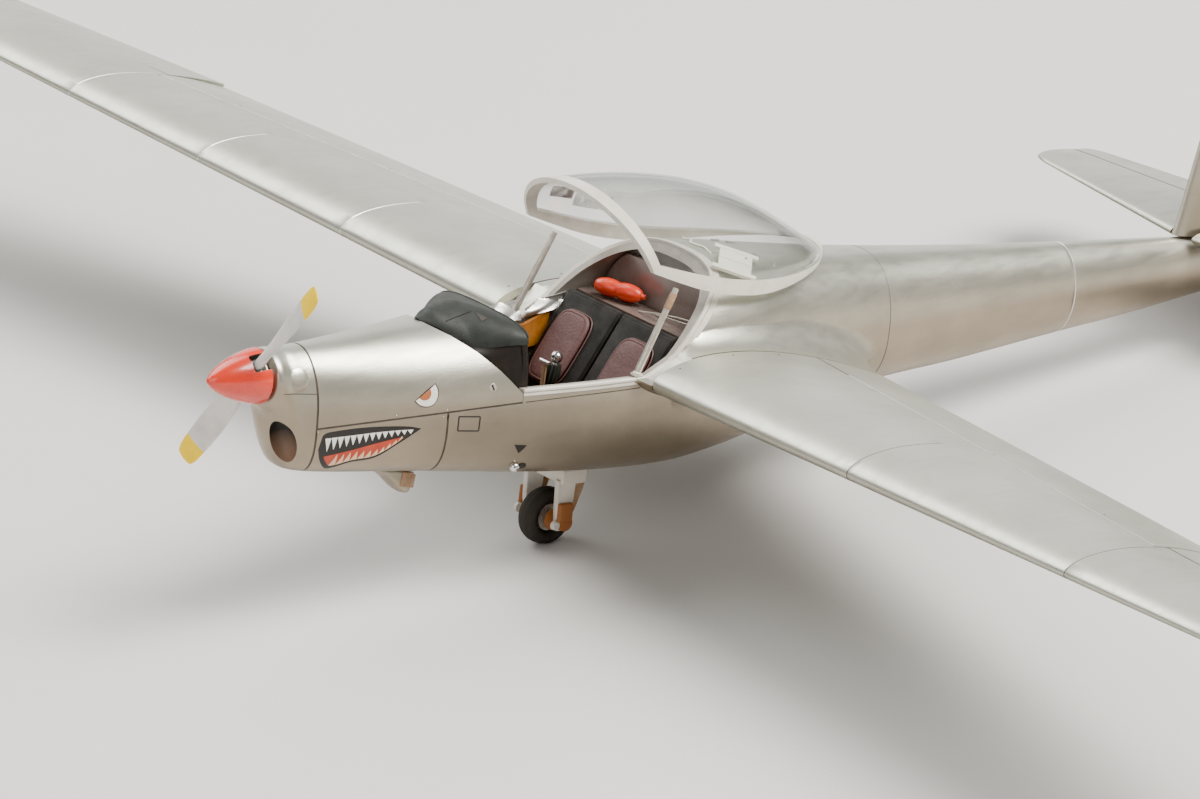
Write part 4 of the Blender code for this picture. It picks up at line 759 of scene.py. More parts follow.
@dataclass
class Fuselage:
    """Outside form of the fuselage.

    Attributes:
        stations: y, half width, height of the widest line, top, bottom, squareness of the upper
            and of the lower half.
        sides: Points around.
    """

    stations: Rows = (
        (7.45, 3.0, -0.4, 2.45, -3.6, 2.0, 2.0), (7.6, 3.3, -0.45, 2.7, -3.95, 2.0, 2.0),
        (8.2, 3.55, -0.9, 2.8, -4.9, 2.0, 2.0), (8.8, 3.65, -2.0, 2.8, -7.0, 2.0, 2.0),
        (9.5, 3.75, -3.2, 2.8, -9.2, 2.0, 2.1), (10.3, 3.95, -4.0, 2.8, -10.6, 2.1, 2.4),
        (11.2, 4.2, -4.4, 2.8, -11.4, 2.1, 2.9), (16.0, 5.15, -4.4, 3.05, -12.1, 2.1, 3.1),
        (27.0, 7.4, -4.5, 4.0, -12.85, 2.1, 3.1), (37.6, 9.5, -4.6, 5.1, -13.9, 2.3, 2.8),
        (46.0, 11.1, -4.8, 6.5, -14.6, 2.5, 2.7), (54.0, 12.1, -5.0, 7.6, -15.0, 2.6, 2.6),
        (62.0, 12.7, -5.0, 8.9, -14.9, 2.8, 2.5), (70.0, 12.2, -4.6, 9.0, -13.8, 2.8, 2.4),
        (79.0, 10.0, -3.7, 8.2, -12.5, 2.6, 2.3), (88.0, 8.0, -2.7, 7.35, -11.0, 2.4, 2.2),
        (96.0, 6.6, -2.0, 6.65, -9.6, 2.3, 2.1), (110.0, 5.3, -1.6, 5.6, -8.4, 2.2, 2.1),
        (125.0, 4.1, -1.2, 4.7, -6.8, 2.1, 2.0), (140.0, 2.9, -0.8, 3.9, -5.2, 2.0, 2.0),
        (151.0, 2.0, -0.4, 3.3, -3.7, 2.0, 2.0), (158.5, 1.3, -0.2, 2.9, -2.7, 2.0, 2.0))
    sides: int = 128

    def __post_init__(self) -> None:
        """Keep the bare skin, on which bands, lines and markings are laid."""
        skin = self.block(steps(self.stations[0][0], self.stations[-1][0], 260))
        bmesh.ops.recalc_face_normals(skin, faces=skin.faces)
        self.skin = BVHTree.FromBMesh(skin)
        skin.free()

    def section(self, y: float, inset: float = 0.0) -> list[Vector]:
        """Points around the fuselage at station y, drawn in by inset."""
        half, side_z, top, bottom, n_top, n_bottom = smooth_row(self.stations, y)
        points = []
        for c, s in circle(self.sides, 0.5):
            power = 2.0 / (n_top if s >= 0 else n_bottom)
            reach = (top - inset - side_z) if s >= 0 else (side_z - bottom - inset)
            points.append(Vector(((half - inset) * signed(c, power), y, side_z + reach * signed(s, power))))
        return points

    def half_at(self, y: float, z: float) -> float:
        """Half width at station y and height z."""
        half, side_z, top, bottom, n_top, n_bottom = smooth_row(self.stations, y)
        power, reach = (n_top, top - side_z) if z >= side_z else (n_bottom, side_z - bottom)
        return half * (1 - min(abs(z - side_z) / reach, 1.0) ** power) ** (1 / power)

    def block(self, places: Sequence[float], inset: float = 0.0) -> Mesh:
        """Solid length of fuselage with a ring at each place."""
        return Mill.loft([self.section(y, inset) for y in places])

    def ringed(self, places: Sequence[float], line: float, width: float = 0.09) -> Mesh:
        """Solid length of fuselage with one engraved ring, whose faces get material index 1."""
        rows = sorted([line - width, line, line + width, *(y for y in places if abs(y - line) > width * 1.5)])
        mesh = Mill.loft([self.section(y, FLOOR_DEPTH if y == line else 0.0) for y in rows])
        return Mill.tint(mesh, 1, lambda p: abs(p.y - line) < width)

    def land(self, point: Vector) -> tuple[Vector, Vector]:
        """Nearest place on the skin and its outward normal."""
        return self.skin.find_nearest(point)[:2]

    def beside(self, y: float, z: float, side: Side) -> tuple[Vector, Vector]:
        """Place on the skin straight in from the side, and its outward normal."""
        return self.skin.ray_cast(Vector((40.0 * side.value, y, z)), Vector((-side.value, 0, 0)))[:2]

    def path(self, points: Sequence[Row], side: Side, count: int) -> list[Vector]:
        """Places on one side's skin along a line of (y, z) points."""
        return [self.beside(*along_line(points, k / count), side)[0] for k in range(count + 1)]

    def band(self, path: Sequence[Vector], low: float, high: float, lift: float, sink: float = 0.25) -> Mesh:
        """Flat band laid along a path on the skin.

        Args:
            path: Points on or near the skin.
            low: Where the band starts, beside the path.
            high: Where it ends.
            lift: How far it stands out of the skin.
            sink: How far it goes into it.

        Returns:
            The closed band.
        """
        ease = max(min(lift * 0.5, (high - low) * 0.2), 0.002)
        section = ((low, -sink), (low, lift - ease), (low + ease, lift), (high - ease, lift),
                   (high, lift - ease), (high, -sink))
        spots = [self.land(p) for p in path]
        rings = []
        for k, (spot, normal) in enumerate(spots):
            ahead = (spots[min(k + 1, len(spots) - 1)][0] - spots[max(k - 1, 0)][0]).normalized()
            beside = normal.cross(ahead).normalized()
            feet = [(*self.land(spot + beside * across), up) for across, up in section]
            rings.append([base + out * up for base, out, up in feet])
        return Mill.loft(rings)

    def line(self, points: Sequence[Row], side: Side, width: float, count: int = 24) -> Mesh:
        """Thin dark line through (y, z) points on one side."""
        return self.band(self.path(points, side, count), -width / 2, width / 2, 0.012, 0.06)

    def marking(self, across: int, along: int, shape: Shape, side: Side, lift: float) -> Mesh:
        """Film of paint on one side of the skin.

        Args:
            across: Faces in the first direction.
            along: Faces in the second direction.
            shape: (y, z) for two shares from 0 to 1.
            side: Side of the fuselage.
            lift: Height of the film over the skin.

        Returns:
            The closed film.
        """
        def place(u: float, v: float) -> Vector:
            """Point of the film's face."""
            spot, normal = self.beside(*shape(u, v), side)
            return spot + normal * lift
        film = Mill.sheet(across, along, place)
        bmesh.ops.recalc_face_normals(film, faces=film.faces)
        if sum(face.normal.x for face in film.faces) * side.value < 0:
            bmesh.ops.reverse_faces(film, faces=film.faces)
        return Mill.thicken(film, lift * 0.8)


@dataclass
class Nose:
    """Nose bowl with its air intake, both cowls and the scoop.

    Attributes:
        seam_lean: How far the upright seams lean, y for each mm of height.
        cowl_seam: y, z and rise for each mm of y of the seam between the cowls.
        screen_foot: Edge of the upper cowl under the windscreen, (y, z).
        scoop: y, half width, top, bottom.
        dome: Radius and height of a blister's profile.
    """

    seam_lean: float = -0.05
    ring_seam_y: float = 12.42
    lower_seam_y: float = 28.45
    cowl_seam: Row = (12.0, -5.91, 0.0878)
    split_line: Rows = ((8.25, -1.55), (12.35, -1.76))
    screen_foot: Rows = ((28.3, 4.45), (30.6, 3.36), (32.9, 1.87), (35.2, -0.03), (37.8, -2.6))
    intake_centre: Row = (2.65, 9.4, -7.75)
    intake_radii: Row = (1.7, 2.1, 2.8)
    intake_turn: Row = (math.radians(38), math.radians(-12))
    scoop: Rows = ((24.0, 0.9, -12.95, -13.1), (25.8, 1.5, -13.05, -13.9), (28.4, 1.9, -13.2, -16.1),
                   (29.2, 1.9, -13.6, -16.35))
    scoop_wall: float = 0.22
    blister: Row = (10.35, -0.15)
    dome: Rows = ((0.02, 0.17), (0.4, 0.16), (0.75, 0.12), (1.0, 0.07), (1.15, 0.01), (1.35, -0.08))

    def upright(self, y: float) -> tuple[Vector, Vector]:
        """Point and aft-facing normal of a cowl's upright seam."""
        return Vector((0, y, 0)), Vector((0, 1, -self.seam_lean)).normalized()

    def seam_z(self, y: float) -> float:
        """Height of the seam between the cowls at station y."""
        start, height, rise = self.cowl_seam
        return height + rise * (y - start)

    def build(self, bench: Bench, hull: Fuselage) -> None:
        """Make every piece of the nose."""
        self.build_bowl(bench, hull)
        self.build_cowls(bench, hull)
        self.build_seams(bench, hull)
        self.build_scoop(bench)

    def build_bowl(self, bench: Bench, hull: Fuselage) -> None:
        """Bowl with its intake, split line and a blister on each side; the intake is warm paint below and
        painted shade above.
        """
        bowl = hull.block(steps(7.45, 8.2, 5)[:-1] + steps(8.2, 14.0, 36))
        Mill.keep_side(bowl, *self.upright(self.ring_seam_y - GAP / 2))
        yaw, roll = self.intake_turn
        turn = Matrix.Rotation(yaw, 4, "Z") @ Matrix.Rotation(roll, 4, "Y")
        pocket = Mill.tint(Mill.ball(self.intake_centre, self.intake_radii, turn, 64))
        bench.dressed("nose_bowl", Mill.carve(bowl, [(pocket, Carve.AWAY)]), SILVER, INTAKE)
        for side in Side:
            bench.piece("bowl_split_line_" + side.word, hull.line(self.split_line, side, 0.11), SEAM)
            dome = Mill.turned(self.dome, (0, 0, 0), "Y", 48)
            Mill.move(dome, seated(*hull.beside(*self.blister, side)) @ Matrix.Rotation(QUARTER, 4, "X"))
            bench.piece("bowl_blister_" + side.word, dome, SILVER, sharp=60.0)

    def build_cowls(self, bench: Bench, hull: Fuselage) -> None:
        """Upper and lower cowl."""
        start, height, rise = self.cowl_seam
        point, normal = self.upright(self.ring_seam_y + GAP / 2)
        seam_up = Vector((0, -rise, 1)).normalized()
        upper, lower = hull.block(steps(11.2, 39.0, 70)), hull.block(steps(11.2, 31.0, 50))
        Mill.keep_side(upper, point, -normal)
        Mill.keep_side(upper, Vector((0, start, height + GAP / 2)), -seam_up)
        for (y, z), (next_y, next_z) in zip(self.screen_foot, self.screen_foot[1:]):
            Mill.keep_side(upper, Vector((0, y, z)), Vector((0, z - next_z, next_y - y)).normalized())
        Mill.keep_side(upper, Vector((0, self.screen_foot[-1][0], 0)), Vector((0, 1, 0)))
        bench.dressed("upper_cowl", upper, SILVER, sharp=30.0)
        Mill.keep_side(lower, point, -normal)
        Mill.keep_side(lower, *self.upright(self.lower_seam_y - GAP / 2))
        Mill.keep_side(lower, Vector((0, start, height - GAP / 2)), seam_up)
        bench.dressed("lower_cowl", lower, SILVER, sharp=30.0)

    def build_seams(self, bench: Bench, hull: Fuselage) -> None:
        """Shaded floors of the seams, and the seam that runs on along the sill."""
        paths = []
        for y, top in ((self.ring_seam_y, 99.0), (self.lower_seam_y, self.seam_z(self.lower_seam_y))):
            ring = [Vector((p.x, y + self.seam_lean * p.z, p.z)) for p in hull.section(y) if p.z < top]
            paths.append(sorted(ring, key=lambda p: math.atan2(p.x, p.z + 4.0)))
        for side in Side:
            paths.append([hull.beside(y, self.seam_z(y), side)[0]
                          for y in steps(self.cowl_seam[0] + 0.5, 38.2, 60)])
            sill = ((38.2, self.seam_z(38.2) + 0.02), (45.0, -3.06), (52.9, -2.6))
            bench.piece("sill_seam_" + side.word, hull.line(sill, side, 0.13, 40), SEAM)
        floors = [hull.band(path, -0.3, 0.3, -FLOOR_DEPTH, 0.5) for path in paths]
        bench.piece("seam_floors", Mill.merge(floors), SEAM)

    def scoop_form(self, places: Sequence[float], inset: float = 0.0) -> Mesh:
        """Scoop's form drawn in by inset, running on past its back at its last size."""
        rings = []
        for y in places:
            half, top, low = smooth_row(self.scoop, min(y, self.scoop[-1][0]))
            middle, reach = (top + low) / 2, (top - low) / 2 - inset
            rings.append([Vector(((half - inset) * signed(c, 0.7), y,
                                  middle + reach * signed(s, 0.3 if s > 0 else 0.75)))
                          for c, s in circle(40, 0.5)])
        return Mill.loft(rings)

    def build_scoop(self, bench: Bench) -> None:
        """Rounded scoop, hollow at its back, with a bare outlet plate."""
        room = Mill.tint(self.scoop_form(steps(27.4, 30.2, 14), self.scoop_wall))
        scoop = Mill.carve(self.scoop_form(steps(24.0, 29.2, 26)), [(room, Carve.AWAY)])
        bench.dressed("exhaust_scoop", scoop, SILVER, DARK_PAINT_AND_PAINTED_SHADE)
        plates = []
        for x in (1.15, -2.0):
            plates += [Mill.box((x, -0.85, -0.9), (x + 0.85, 0.7, 0.85), 0.07),
                       Mill.box((x + 0.3, 0.45, -0.95), (x + 0.9, 1.0, 0.6), 0.07)]
        stand = Matrix.Translation((0, 28.65, -14.3)) @ Matrix.Rotation(math.radians(-7), 4, "X")
        bench.piece("scoop_outlet_plates", Mill.move(Mill.merge(plates), stand), BARE_TAN)


@dataclass
class Wings:
    """Wings, flaps, ailerons and the tip bodies; sizes are the port wing's.

    Attributes:
        root_le: y and z of the leading edge at the root.
        port_lines: Span place of an engraved line, and the share of the chord where it runs out.
        screws: Span place and share of the chord of each screw head.
    """

    root_x: float = 14.6
    rib_x: float = 92.2
    tip_x: float = 171.0
    root_le: Row = (52.2, -1.3)
    le_sweep: float = -0.0874
    root_chord: float = 34.8
    chord_taper: float = -0.145
    dihedral: float = 0.0553
    incidence: Row = (math.radians(4.2), math.radians(1.5))
    thickness: Row = (0.152, 0.125)
    camber: float = 0.034
    flap_chord: float = 10.4
    aileron_chord: Row = (8.6, 5.0)
    tip_body: Row = (9.5, 1.6)
    aileron_up: float = math.radians(2.5)
    line_width: float = 0.075
    port_lines: Rows = ((52.8, 0.45), (92.5, 1.0))
    starboard_lines: Rows = ((42.0, 0.42), (68.1, 0.42), (92.5, 0.66))
    screws: Rows = ((16.0, 0.08), (16.0, 0.3), (16.0, 0.5), (30.0, 0.68), (56.0, 0.655), (80.0, 0.62))

    def leading_edge(self, x: float) -> Vector:
        """Leading edge point of the port wing."""
        out = x - self.root_x
        return Vector((x, self.root_le[0] + self.le_sweep * out, self.root_le[1] + self.dihedral * out))

    def chord(self, x: float) -> float:
        """Chord at span place x."""
        return self.root_chord + self.chord_taper * (x - self.root_x)

    @staticmethod
    def foil(fraction: float, thick: float, camber: float) -> tuple[float, float]:
        """Upper and lower height of the aerofoil, as shares of its chord."""
        f = max(fraction, 0.0)
        half = 5 * thick * (0.2969 * math.sqrt(f) - 0.126 * f - 0.3516 * f ** 2 + 0.2843 * f ** 3
                            - 0.0936 * f ** 4)
        line = 4 * camber * f * (1 - f)
        return line + half, line - half

    def point(self, x: float, fraction: float, upper: bool, inset: float = 0.0) -> Vector:
        """Point of the port wing's skin, drawn in by inset."""
        share = (x - self.root_x) / (self.tip_x - self.root_x)
        high, low = self.foil(fraction, lerp(*self.thickness, share), self.camber)
        chord = self.chord(x)
        height = high * chord - inset if upper else low * chord + inset
        tilt = lerp(*self.incidence, share)
        along = fraction * chord
        return self.leading_edge(x) + Vector((0, along * math.cos(tilt) + height * math.sin(tilt),
                                              -along * math.sin(tilt) + height * math.cos(tilt)))

    def ring(self, x: float, start: float, end: float, count: int, inset: float = 0.0,
             until: float = 1.0) -> list[Vector]:
        """Ring round a slice of aerofoil between two shares of its chord, sunk by inset until a share."""
        shares = [start + (end - start) * (1 - math.cos(math.pi * k / count)) / 2 for k in range(count + 1)]
        upper, lower = ([self.point(x, f, top, inset if f <= until else 0.0) for f in shares]
                        for top in (True, False))
        return upper + (lower[:0:-1] if start == 0.0 else lower[::-1])

    def hinge(self, x: float, aileron: bool) -> float:
        """Share of the chord where the flap or the aileron starts."""
        depth = lerp(*self.aileron_chord, (x - self.rib_x) / (self.tip_x - self.rib_x))
        return 1 - (depth if aileron else self.flap_chord) / self.chord(x)

    def slab(self, places: Sequence[float], lines: Sequence[Row], span: Callable[[float], Row],
             count: int) -> Mesh:
        """Length of wing with engraved rib lines, whose faces get material index 1.

        Args:
            places: Span places of its rings.
            lines: Span place of each line, and the share of the chord where it runs out.
            span: Start and end shares of the chord at a span place.
            count: Points along each skin.

        Returns:
            The closed mesh.
        """
        width = self.line_width
        cut: dict[float, Row] = {}
        for line, until in lines:
            cut.update({line - width: (0.0, 1.0), line: (FLOOR_DEPTH, until), line + width: (0.0, 1.0)})
        rows = sorted([*cut, *(x for x in places if all(abs(x - line) > 2 * width for line, _ in lines))])
        mesh = Mill.loft([self.ring(x, *span(x), count, *cut.get(x, (0.0, 1.0))) for x in rows])
        return Mill.tint(mesh, 1, lambda p: any(
            abs(p.x - line) < width and p.y < self.leading_edge(line).y + until * self.chord(line)
            for line, until in lines))

    def tip(self) -> Mesh:
        """Spindle on the wing's tip."""
        half_length, radius = self.tip_body
        middle = self.leading_edge(self.tip_x) + Vector((radius + 0.3, 7.5, -0.3))
        profile = [(radius * math.sin(angle) ** 0.8 + 0.02, -half_length * math.cos(angle))
                   for angle in (math.pi * k / 48 for k in range(49))]
        return Mill.turned(profile, middle, "Y", 40)

    def build(self, bench: Bench) -> None:
        """Make both wings."""
        for side in Side:
            port = side is Side.PORT
            places = [*steps(self.root_x + GAP, self.rib_x - 0.01, 24),
                      *steps(self.rib_x + 0.01, self.tip_x, 24)]
            pieces = {
                "wing": self.slab(places, self.port_lines if port else self.starboard_lines,
                                  lambda x: (0.0, self.hinge(x, x > self.rib_x) - GAP / self.chord(x)), 30),
                "flap": self.slab(steps(self.root_x + GAP, self.rib_x - GAP / 2, 24), (),
                                  lambda x: (self.hinge(x, False), 1.0), 12),
                "aileron": self.slab(steps(self.rib_x + GAP / 2, self.tip_x - GAP, 24), (),
                                     lambda x: (self.hinge(x, True), 1.0), 12),
                "wing_tip": self.tip()}
            if not port:
                hinge = self.point(self.rib_x, self.hinge(self.rib_x, True), True)
                swing = Matrix.Rotation(self.aileron_up, 4, "X")
                Mill.move(pieces["aileron"], Matrix.Translation(hinge) @ swing @ Matrix.Translation(-hinge))
            # a pale wire in the flap's hinge gap, painted as the highlight along the hinge line
            seal = [self.point(x, self.hinge(x, False), True) - Vector((0, 0.04, 0.03))
                    for x in steps(self.root_x + 8.0, self.rib_x - 0.3, 40)]
            strip = Mill.other_side(Mill.tube(seal, 0.085, 8), side)
            bench.piece("hinge_seal_" + side.word, strip, PAINTED_SEAM_HIGHLIGHT)
            # the port wing's engraved lines are dark; the starboard wing's are painted highlights
            for word, mesh in pieces.items():
                bench.dressed(f"{word}_{side.word}", Mill.other_side(mesh, side), WING_SILVER,
                              SEAM if port else PAINTED_SEAM_HIGHLIGHT)
            spots = [self.point(x, share, True) for x, share in self.screws]
            heads = [Mill.bar(spot - UP * 0.1, spot + UP * 0.02, 0.14, 0.12, 12) for spot in spots]
            bench.piece("wing_screws_" + side.word, Mill.other_side(Mill.merge(heads), side), DARK_PAINT_AND_PAINTED_SHADE)


@dataclass
class CockpitShell:
    """Hollow middle of the fuselage with the wing fairings, the boom, and the bands round the opening.

    Attributes:
        cabin: First and last y of the hollow.
        skin: Thickness of the shell's wall.
        sill_front: y and z of the sill's front corner; sill_rear and hoop go on round the opening.
        fairing_rise: How far the fairing's middle climbs on the fuselage; fairing_drop is below.
        fairing_ahead: How far it reaches ahead of the wing; fairing_behind is behind it.
    """

    boom_start: float = 94.6
    body_end: float = 158.5
    belly_flat_z: float = -14.8
    cabin: Row = (32.0, 66.2)
    skin: float = 0.9
    sill_front: Row = (37.86, -2.15)
    sill_rear: Row = (53.5, -1.4)
    hoop: Rows = ((57.0, 0.5), (60.6, 4.0), (64.6, 7.3), (67.6, 9.8))
    fairing_rise: float = 3.7
    fairing_drop: float = 2.6
    fairing_ahead: float = 0.2
    fairing_behind: float = 7.0
    boom_line: float = 126.5

    def fairing(self, wings: Wings, hull: Fuselage, side: Side) -> Mesh:
        """Hollow-curved fairing from the wing's root onto the fuselage.

        Args:
            wings: The wings, whose root it meets.
            hull: The fuselage it runs out on.
            side: Side of the model.

        Returns:
            The closed fairing.
        """
        count, layers = 40, 14
        edge = (self.sill_front, self.sill_rear, *self.hoop, (95.0, 30.0))
        rings: list[list[Vector]] = [[] for _ in range(layers + 2)]
        for k in range(2 * count):
            upper = k < count
            f = (1 - math.cos(math.pi * (k if upper else 2 * count - k) / count)) / 2
            start = wings.point(wings.root_x, f, upper)
            hump = math.sin(math.pi * min(max(f, 0.0), 1.0)) ** (1.0 if f < 0.5 else 0.55)
            shift = lerp(-self.fairing_ahead, self.fairing_behind, f)
            z = start.z + (self.fairing_rise if upper else -self.fairing_drop) * hump
            z = min(z, along_table(edge, start.y + shift) - 0.6)
            end = Vector((hull.half_at(start.y + shift, z) - 0.1, start.y + shift, z))
            bend_y = start.y + 0.2 * shift
            bend = Vector((hull.half_at(bend_y, start.z) + 0.15, bend_y, start.z))
            for ring, t in zip(rings, steps(0, 1, layers)):
                ring.append(start.lerp(bend, t).lerp(bend.lerp(end, t), t))
            rings[-1].append(end - Vector((1.2, 0, 0)))
        return Mill.other_side(Mill.loft(rings), side)

    def build(self, bench: Bench, hull: Fuselage, nose: Nose, wings: Wings) -> None:
        """Carve the shell and lay its bands."""
        shell = hull.block(steps(28.0, self.boom_start - GAP / 2, 110))
        point, normal = nose.upright(nose.lower_seam_y + GAP / 2)
        Mill.keep_side(shell, point, -normal)
        Mill.keep_side(shell, Vector((0, 0, self.belly_flat_z)), -UP)
        front, corner, over = nose.lower_seam_y - 2.0, self.sill_front[0], 30.0
        outline = [(front, nose.seam_z(front) - GAP / 2), (corner, nose.seam_z(corner) - GAP / 2),
                   self.sill_front, self.sill_rear, *self.hoop, (self.hoop[-1][0], over), (front, over)]
        tools = [(self.fairing(wings, hull, side), Carve.JOIN) for side in Side]
        tools += [(Mill.tint(tool, 2), Carve.AWAY) for tool in (hull.block(steps(*self.cabin, 60), self.skin),
                                                                Mill.prism(outline, -over, over))]
        shell = Mill.carve(shell, tools)
        for face in shell.faces:
            p = face.calc_center_median()
            if face.material_index == 2 and abs(p.x) > hull.half_at(p.y, p.z) - 0.12:
                face.material_index = 0
        bench.dressed("cockpit_shell", shell, SILVER, DARK_PAINT_AND_PAINTED_SHADE, CABIN_GREY, sharp=33.0)
        # the boom's engraved ring is painted as a highlight
        boom = hull.ringed(steps(self.boom_start + GAP / 2, self.body_end, 80), self.boom_line)
        bench.dressed("tail_boom", boom, SILVER, PAINTED_SEAM_HIGHLIGHT)
        join = steps(self.boom_start - 0.3, self.boom_start + 0.3, 4)
        bench.piece("boom_join_seal", hull.block(join, 0.05), SILVER)
        self.build_bands(bench, hull)

    def build_bands(self, bench: Bench, hull: Fuselage) -> None:
        """Painted sill rails and the hoop round the opening's rear."""
        for side in Side:
            path = hull.path((self.sill_front, self.sill_rear), side, 30)
            for word, inner, outer, lift in (("rail", 0.34, 0.75, 0.12), ("edge", -0.08, 0.3, 0.24)):
                low, high = sorted((-inner * side.value, -outer * side.value))
                bench.piece(f"sill_{word}_{side.word}", hull.band(path, low, high, lift, 0.5), RIM_WHITE)
        edge = [self.sill_rear, *self.hoop]
        arch = []
        for k in range(61):
            c, s = math.cos(math.pi * k / 60), math.sin(math.pi * k / 60)
            y = along_line(edge, 0.5)[0]
            for _ in range(25):
                _, _, top, _, squareness, _ = smooth_row(hull.stations, y)
                z = lerp(self.sill_rear[1], top, s ** (2.0 / squareness))
                y = along_line(edge, self.share_at(edge, z))[0]
            arch.append(Vector((math.copysign(hull.half_at(y, z), c), y, z)))
        bench.piece("opening_hoop", hull.band(arch, -1.2, -0.42, 0.16, 0.6), RIM_WHITE)
        bench.piece("opening_hoop_edge", hull.band(arch, -0.36, 0.06, 0.34, 0.6), RIM_WHITE)

    @staticmethod
    def share_at(edge: Sequence[Row], z: float) -> float:
        """Share of the edge's length where it reaches height z."""
        low, high = 0.0, 1.0
        for _ in range(24):
            middle = (low + high) / 2
            low, high = (middle, high) if along_line(edge, middle)[1] < z else (low, middle)
        return low


@dataclass
class Tail:
    """Fin, rudder, tailplane and elevators.

    Attributes:
        fin_root_le: y and z of the fin's leading edge at its root; fin_tip_le is at its tip.
        fin_seat: Height of the fin's foot, and its fall for each mm of y.
        rudder_te: y of the trailing edge at root and tip, as plane_te for the tailplane.
        plane_root: Leading edge point at the root; plane_tip is at the tip.
    """

    fin_root_le: Row = (145.1, 3.2)
    fin_tip_le: Row = (151.8, 37.4)
    fin_seat: Row = (3.95, 0.052)
    fin_thick: float = 0.105
    rudder_hinge_y: float = 158.8
    rudder_te: Row = (172.9, 166.6)
    rudder_bottom: float = -2.6
    plane_root: Row = (1.9, 146.6, 3.7)
    plane_tip: Row = (35.2, 153.4, 3.1)
    plane_thick: float = 0.11
    plane_hinge: float = 160.3
    plane_te: Row = (168.0, 163.4)

    @staticmethod
    def blade(rows: Sequence[tuple[Vector, Vector]], spread: Vector, thick: float, fore: float | None,
              aft: float | None, count: int) -> Mesh:
        """Symmetric blade between two lines across its chord.

        Args:
            rows: Leading and trailing edge points.
            spread: Direction of its thickness.
            thick: Thickness as a share of its chord.
            fore: y where it starts, or None for the leading edge.
            aft: y where it ends, or None for the trailing edge.
            count: Points along each skin.

        Returns:
            The closed blade.
        """
        rings = []
        for lead, trail in rows:
            chord, direction = (trail - lead).length, (trail - lead).normalized()
            a = 0.0 if fore is None else (fore - lead.y) / (trail.y - lead.y)
            b = 1.0 if aft is None else (aft - lead.y) / (trail.y - lead.y)
            shares = [a + (b - a) * (1 - math.cos(math.pi * k / count)) / 2 for k in range(count + 1)]
            halves = [max(Wings.foil(f, thick, 0.0)[0] * chord, 0.16 if f > 0.5 else 0.0) for f in shares]
            up, down = ([lead + direction * chord * f + spread * h * way for f, h in zip(shares, halves)]
                        for way in (1, -1))
            rings.append(up + (down[:0:-1] if a == 0.0 else down[::-1]))
        return Mill.loft(rings)

    @staticmethod
    def rows(root: Vector, tip: Vector, trail: Row, round_off: float) -> list[tuple[Vector, Vector]]:
        """Leading and trailing edge points from root to tip, with the tip's corners rounded."""
        foot, end = (Vector((point.x, y, point.z)) for point, y in zip((root, tip), trail))
        made = []
        for share in [*steps(0.0, 0.9, 8), *steps(0.9, 1.0, 6)[1:]]:
            near_tip = max((share - 0.9) / 0.1, 0.0)
            inward = Vector((0, round_off * (1 - math.sqrt(max(1 - near_tip ** 2, 0.0))), 0))
            made.append((root.lerp(tip, share) + inward, foot.lerp(end, share) - inward))
        return made

    def build(self, bench: Bench) -> None:
        """Make every tail surface."""
        across = Vector((1, 0, 0))
        root, hinge = Vector((0, *self.fin_root_le)), self.rudder_hinge_y
        rows = self.rows(root, Vector((0, *self.fin_tip_le)), self.rudder_te, 1.8)
        seat_z, fall = self.fin_seat
        last_y = self.rudder_te[0]
        seat = (Vector((0, root.y, seat_z)), Vector((0, last_y, seat_z - fall * (last_y - root.y))))
        fin = self.blade([seat, *rows[1:]], across, self.fin_thick, None, hinge - GAP, 18)
        bench.dressed("fin", fin, SILVER)
        drop = UP * (self.rudder_bottom - root.z)
        foot = (rows[0][0] + drop, rows[0][1] + drop + Vector((0, -1.5, 0)))
        bench.dressed("rudder", self.blade([foot, *rows], across, self.fin_thick, hinge, None, 12), SILVER)
        for side in Side:
            rows = self.rows(Vector(self.plane_root), Vector(self.plane_tip), self.plane_te, 1.2)
            for word, fore, aft, count in (("tailplane", None, self.plane_hinge - GAP, 18),
                                           ("elevator", self.plane_hinge, None, 12)):
                blade = self.blade(rows, UP, self.plane_thick, fore, aft, count)
                bench.dressed(f"{word}_{side.word}", Mill.other_side(blade, side), SILVER)


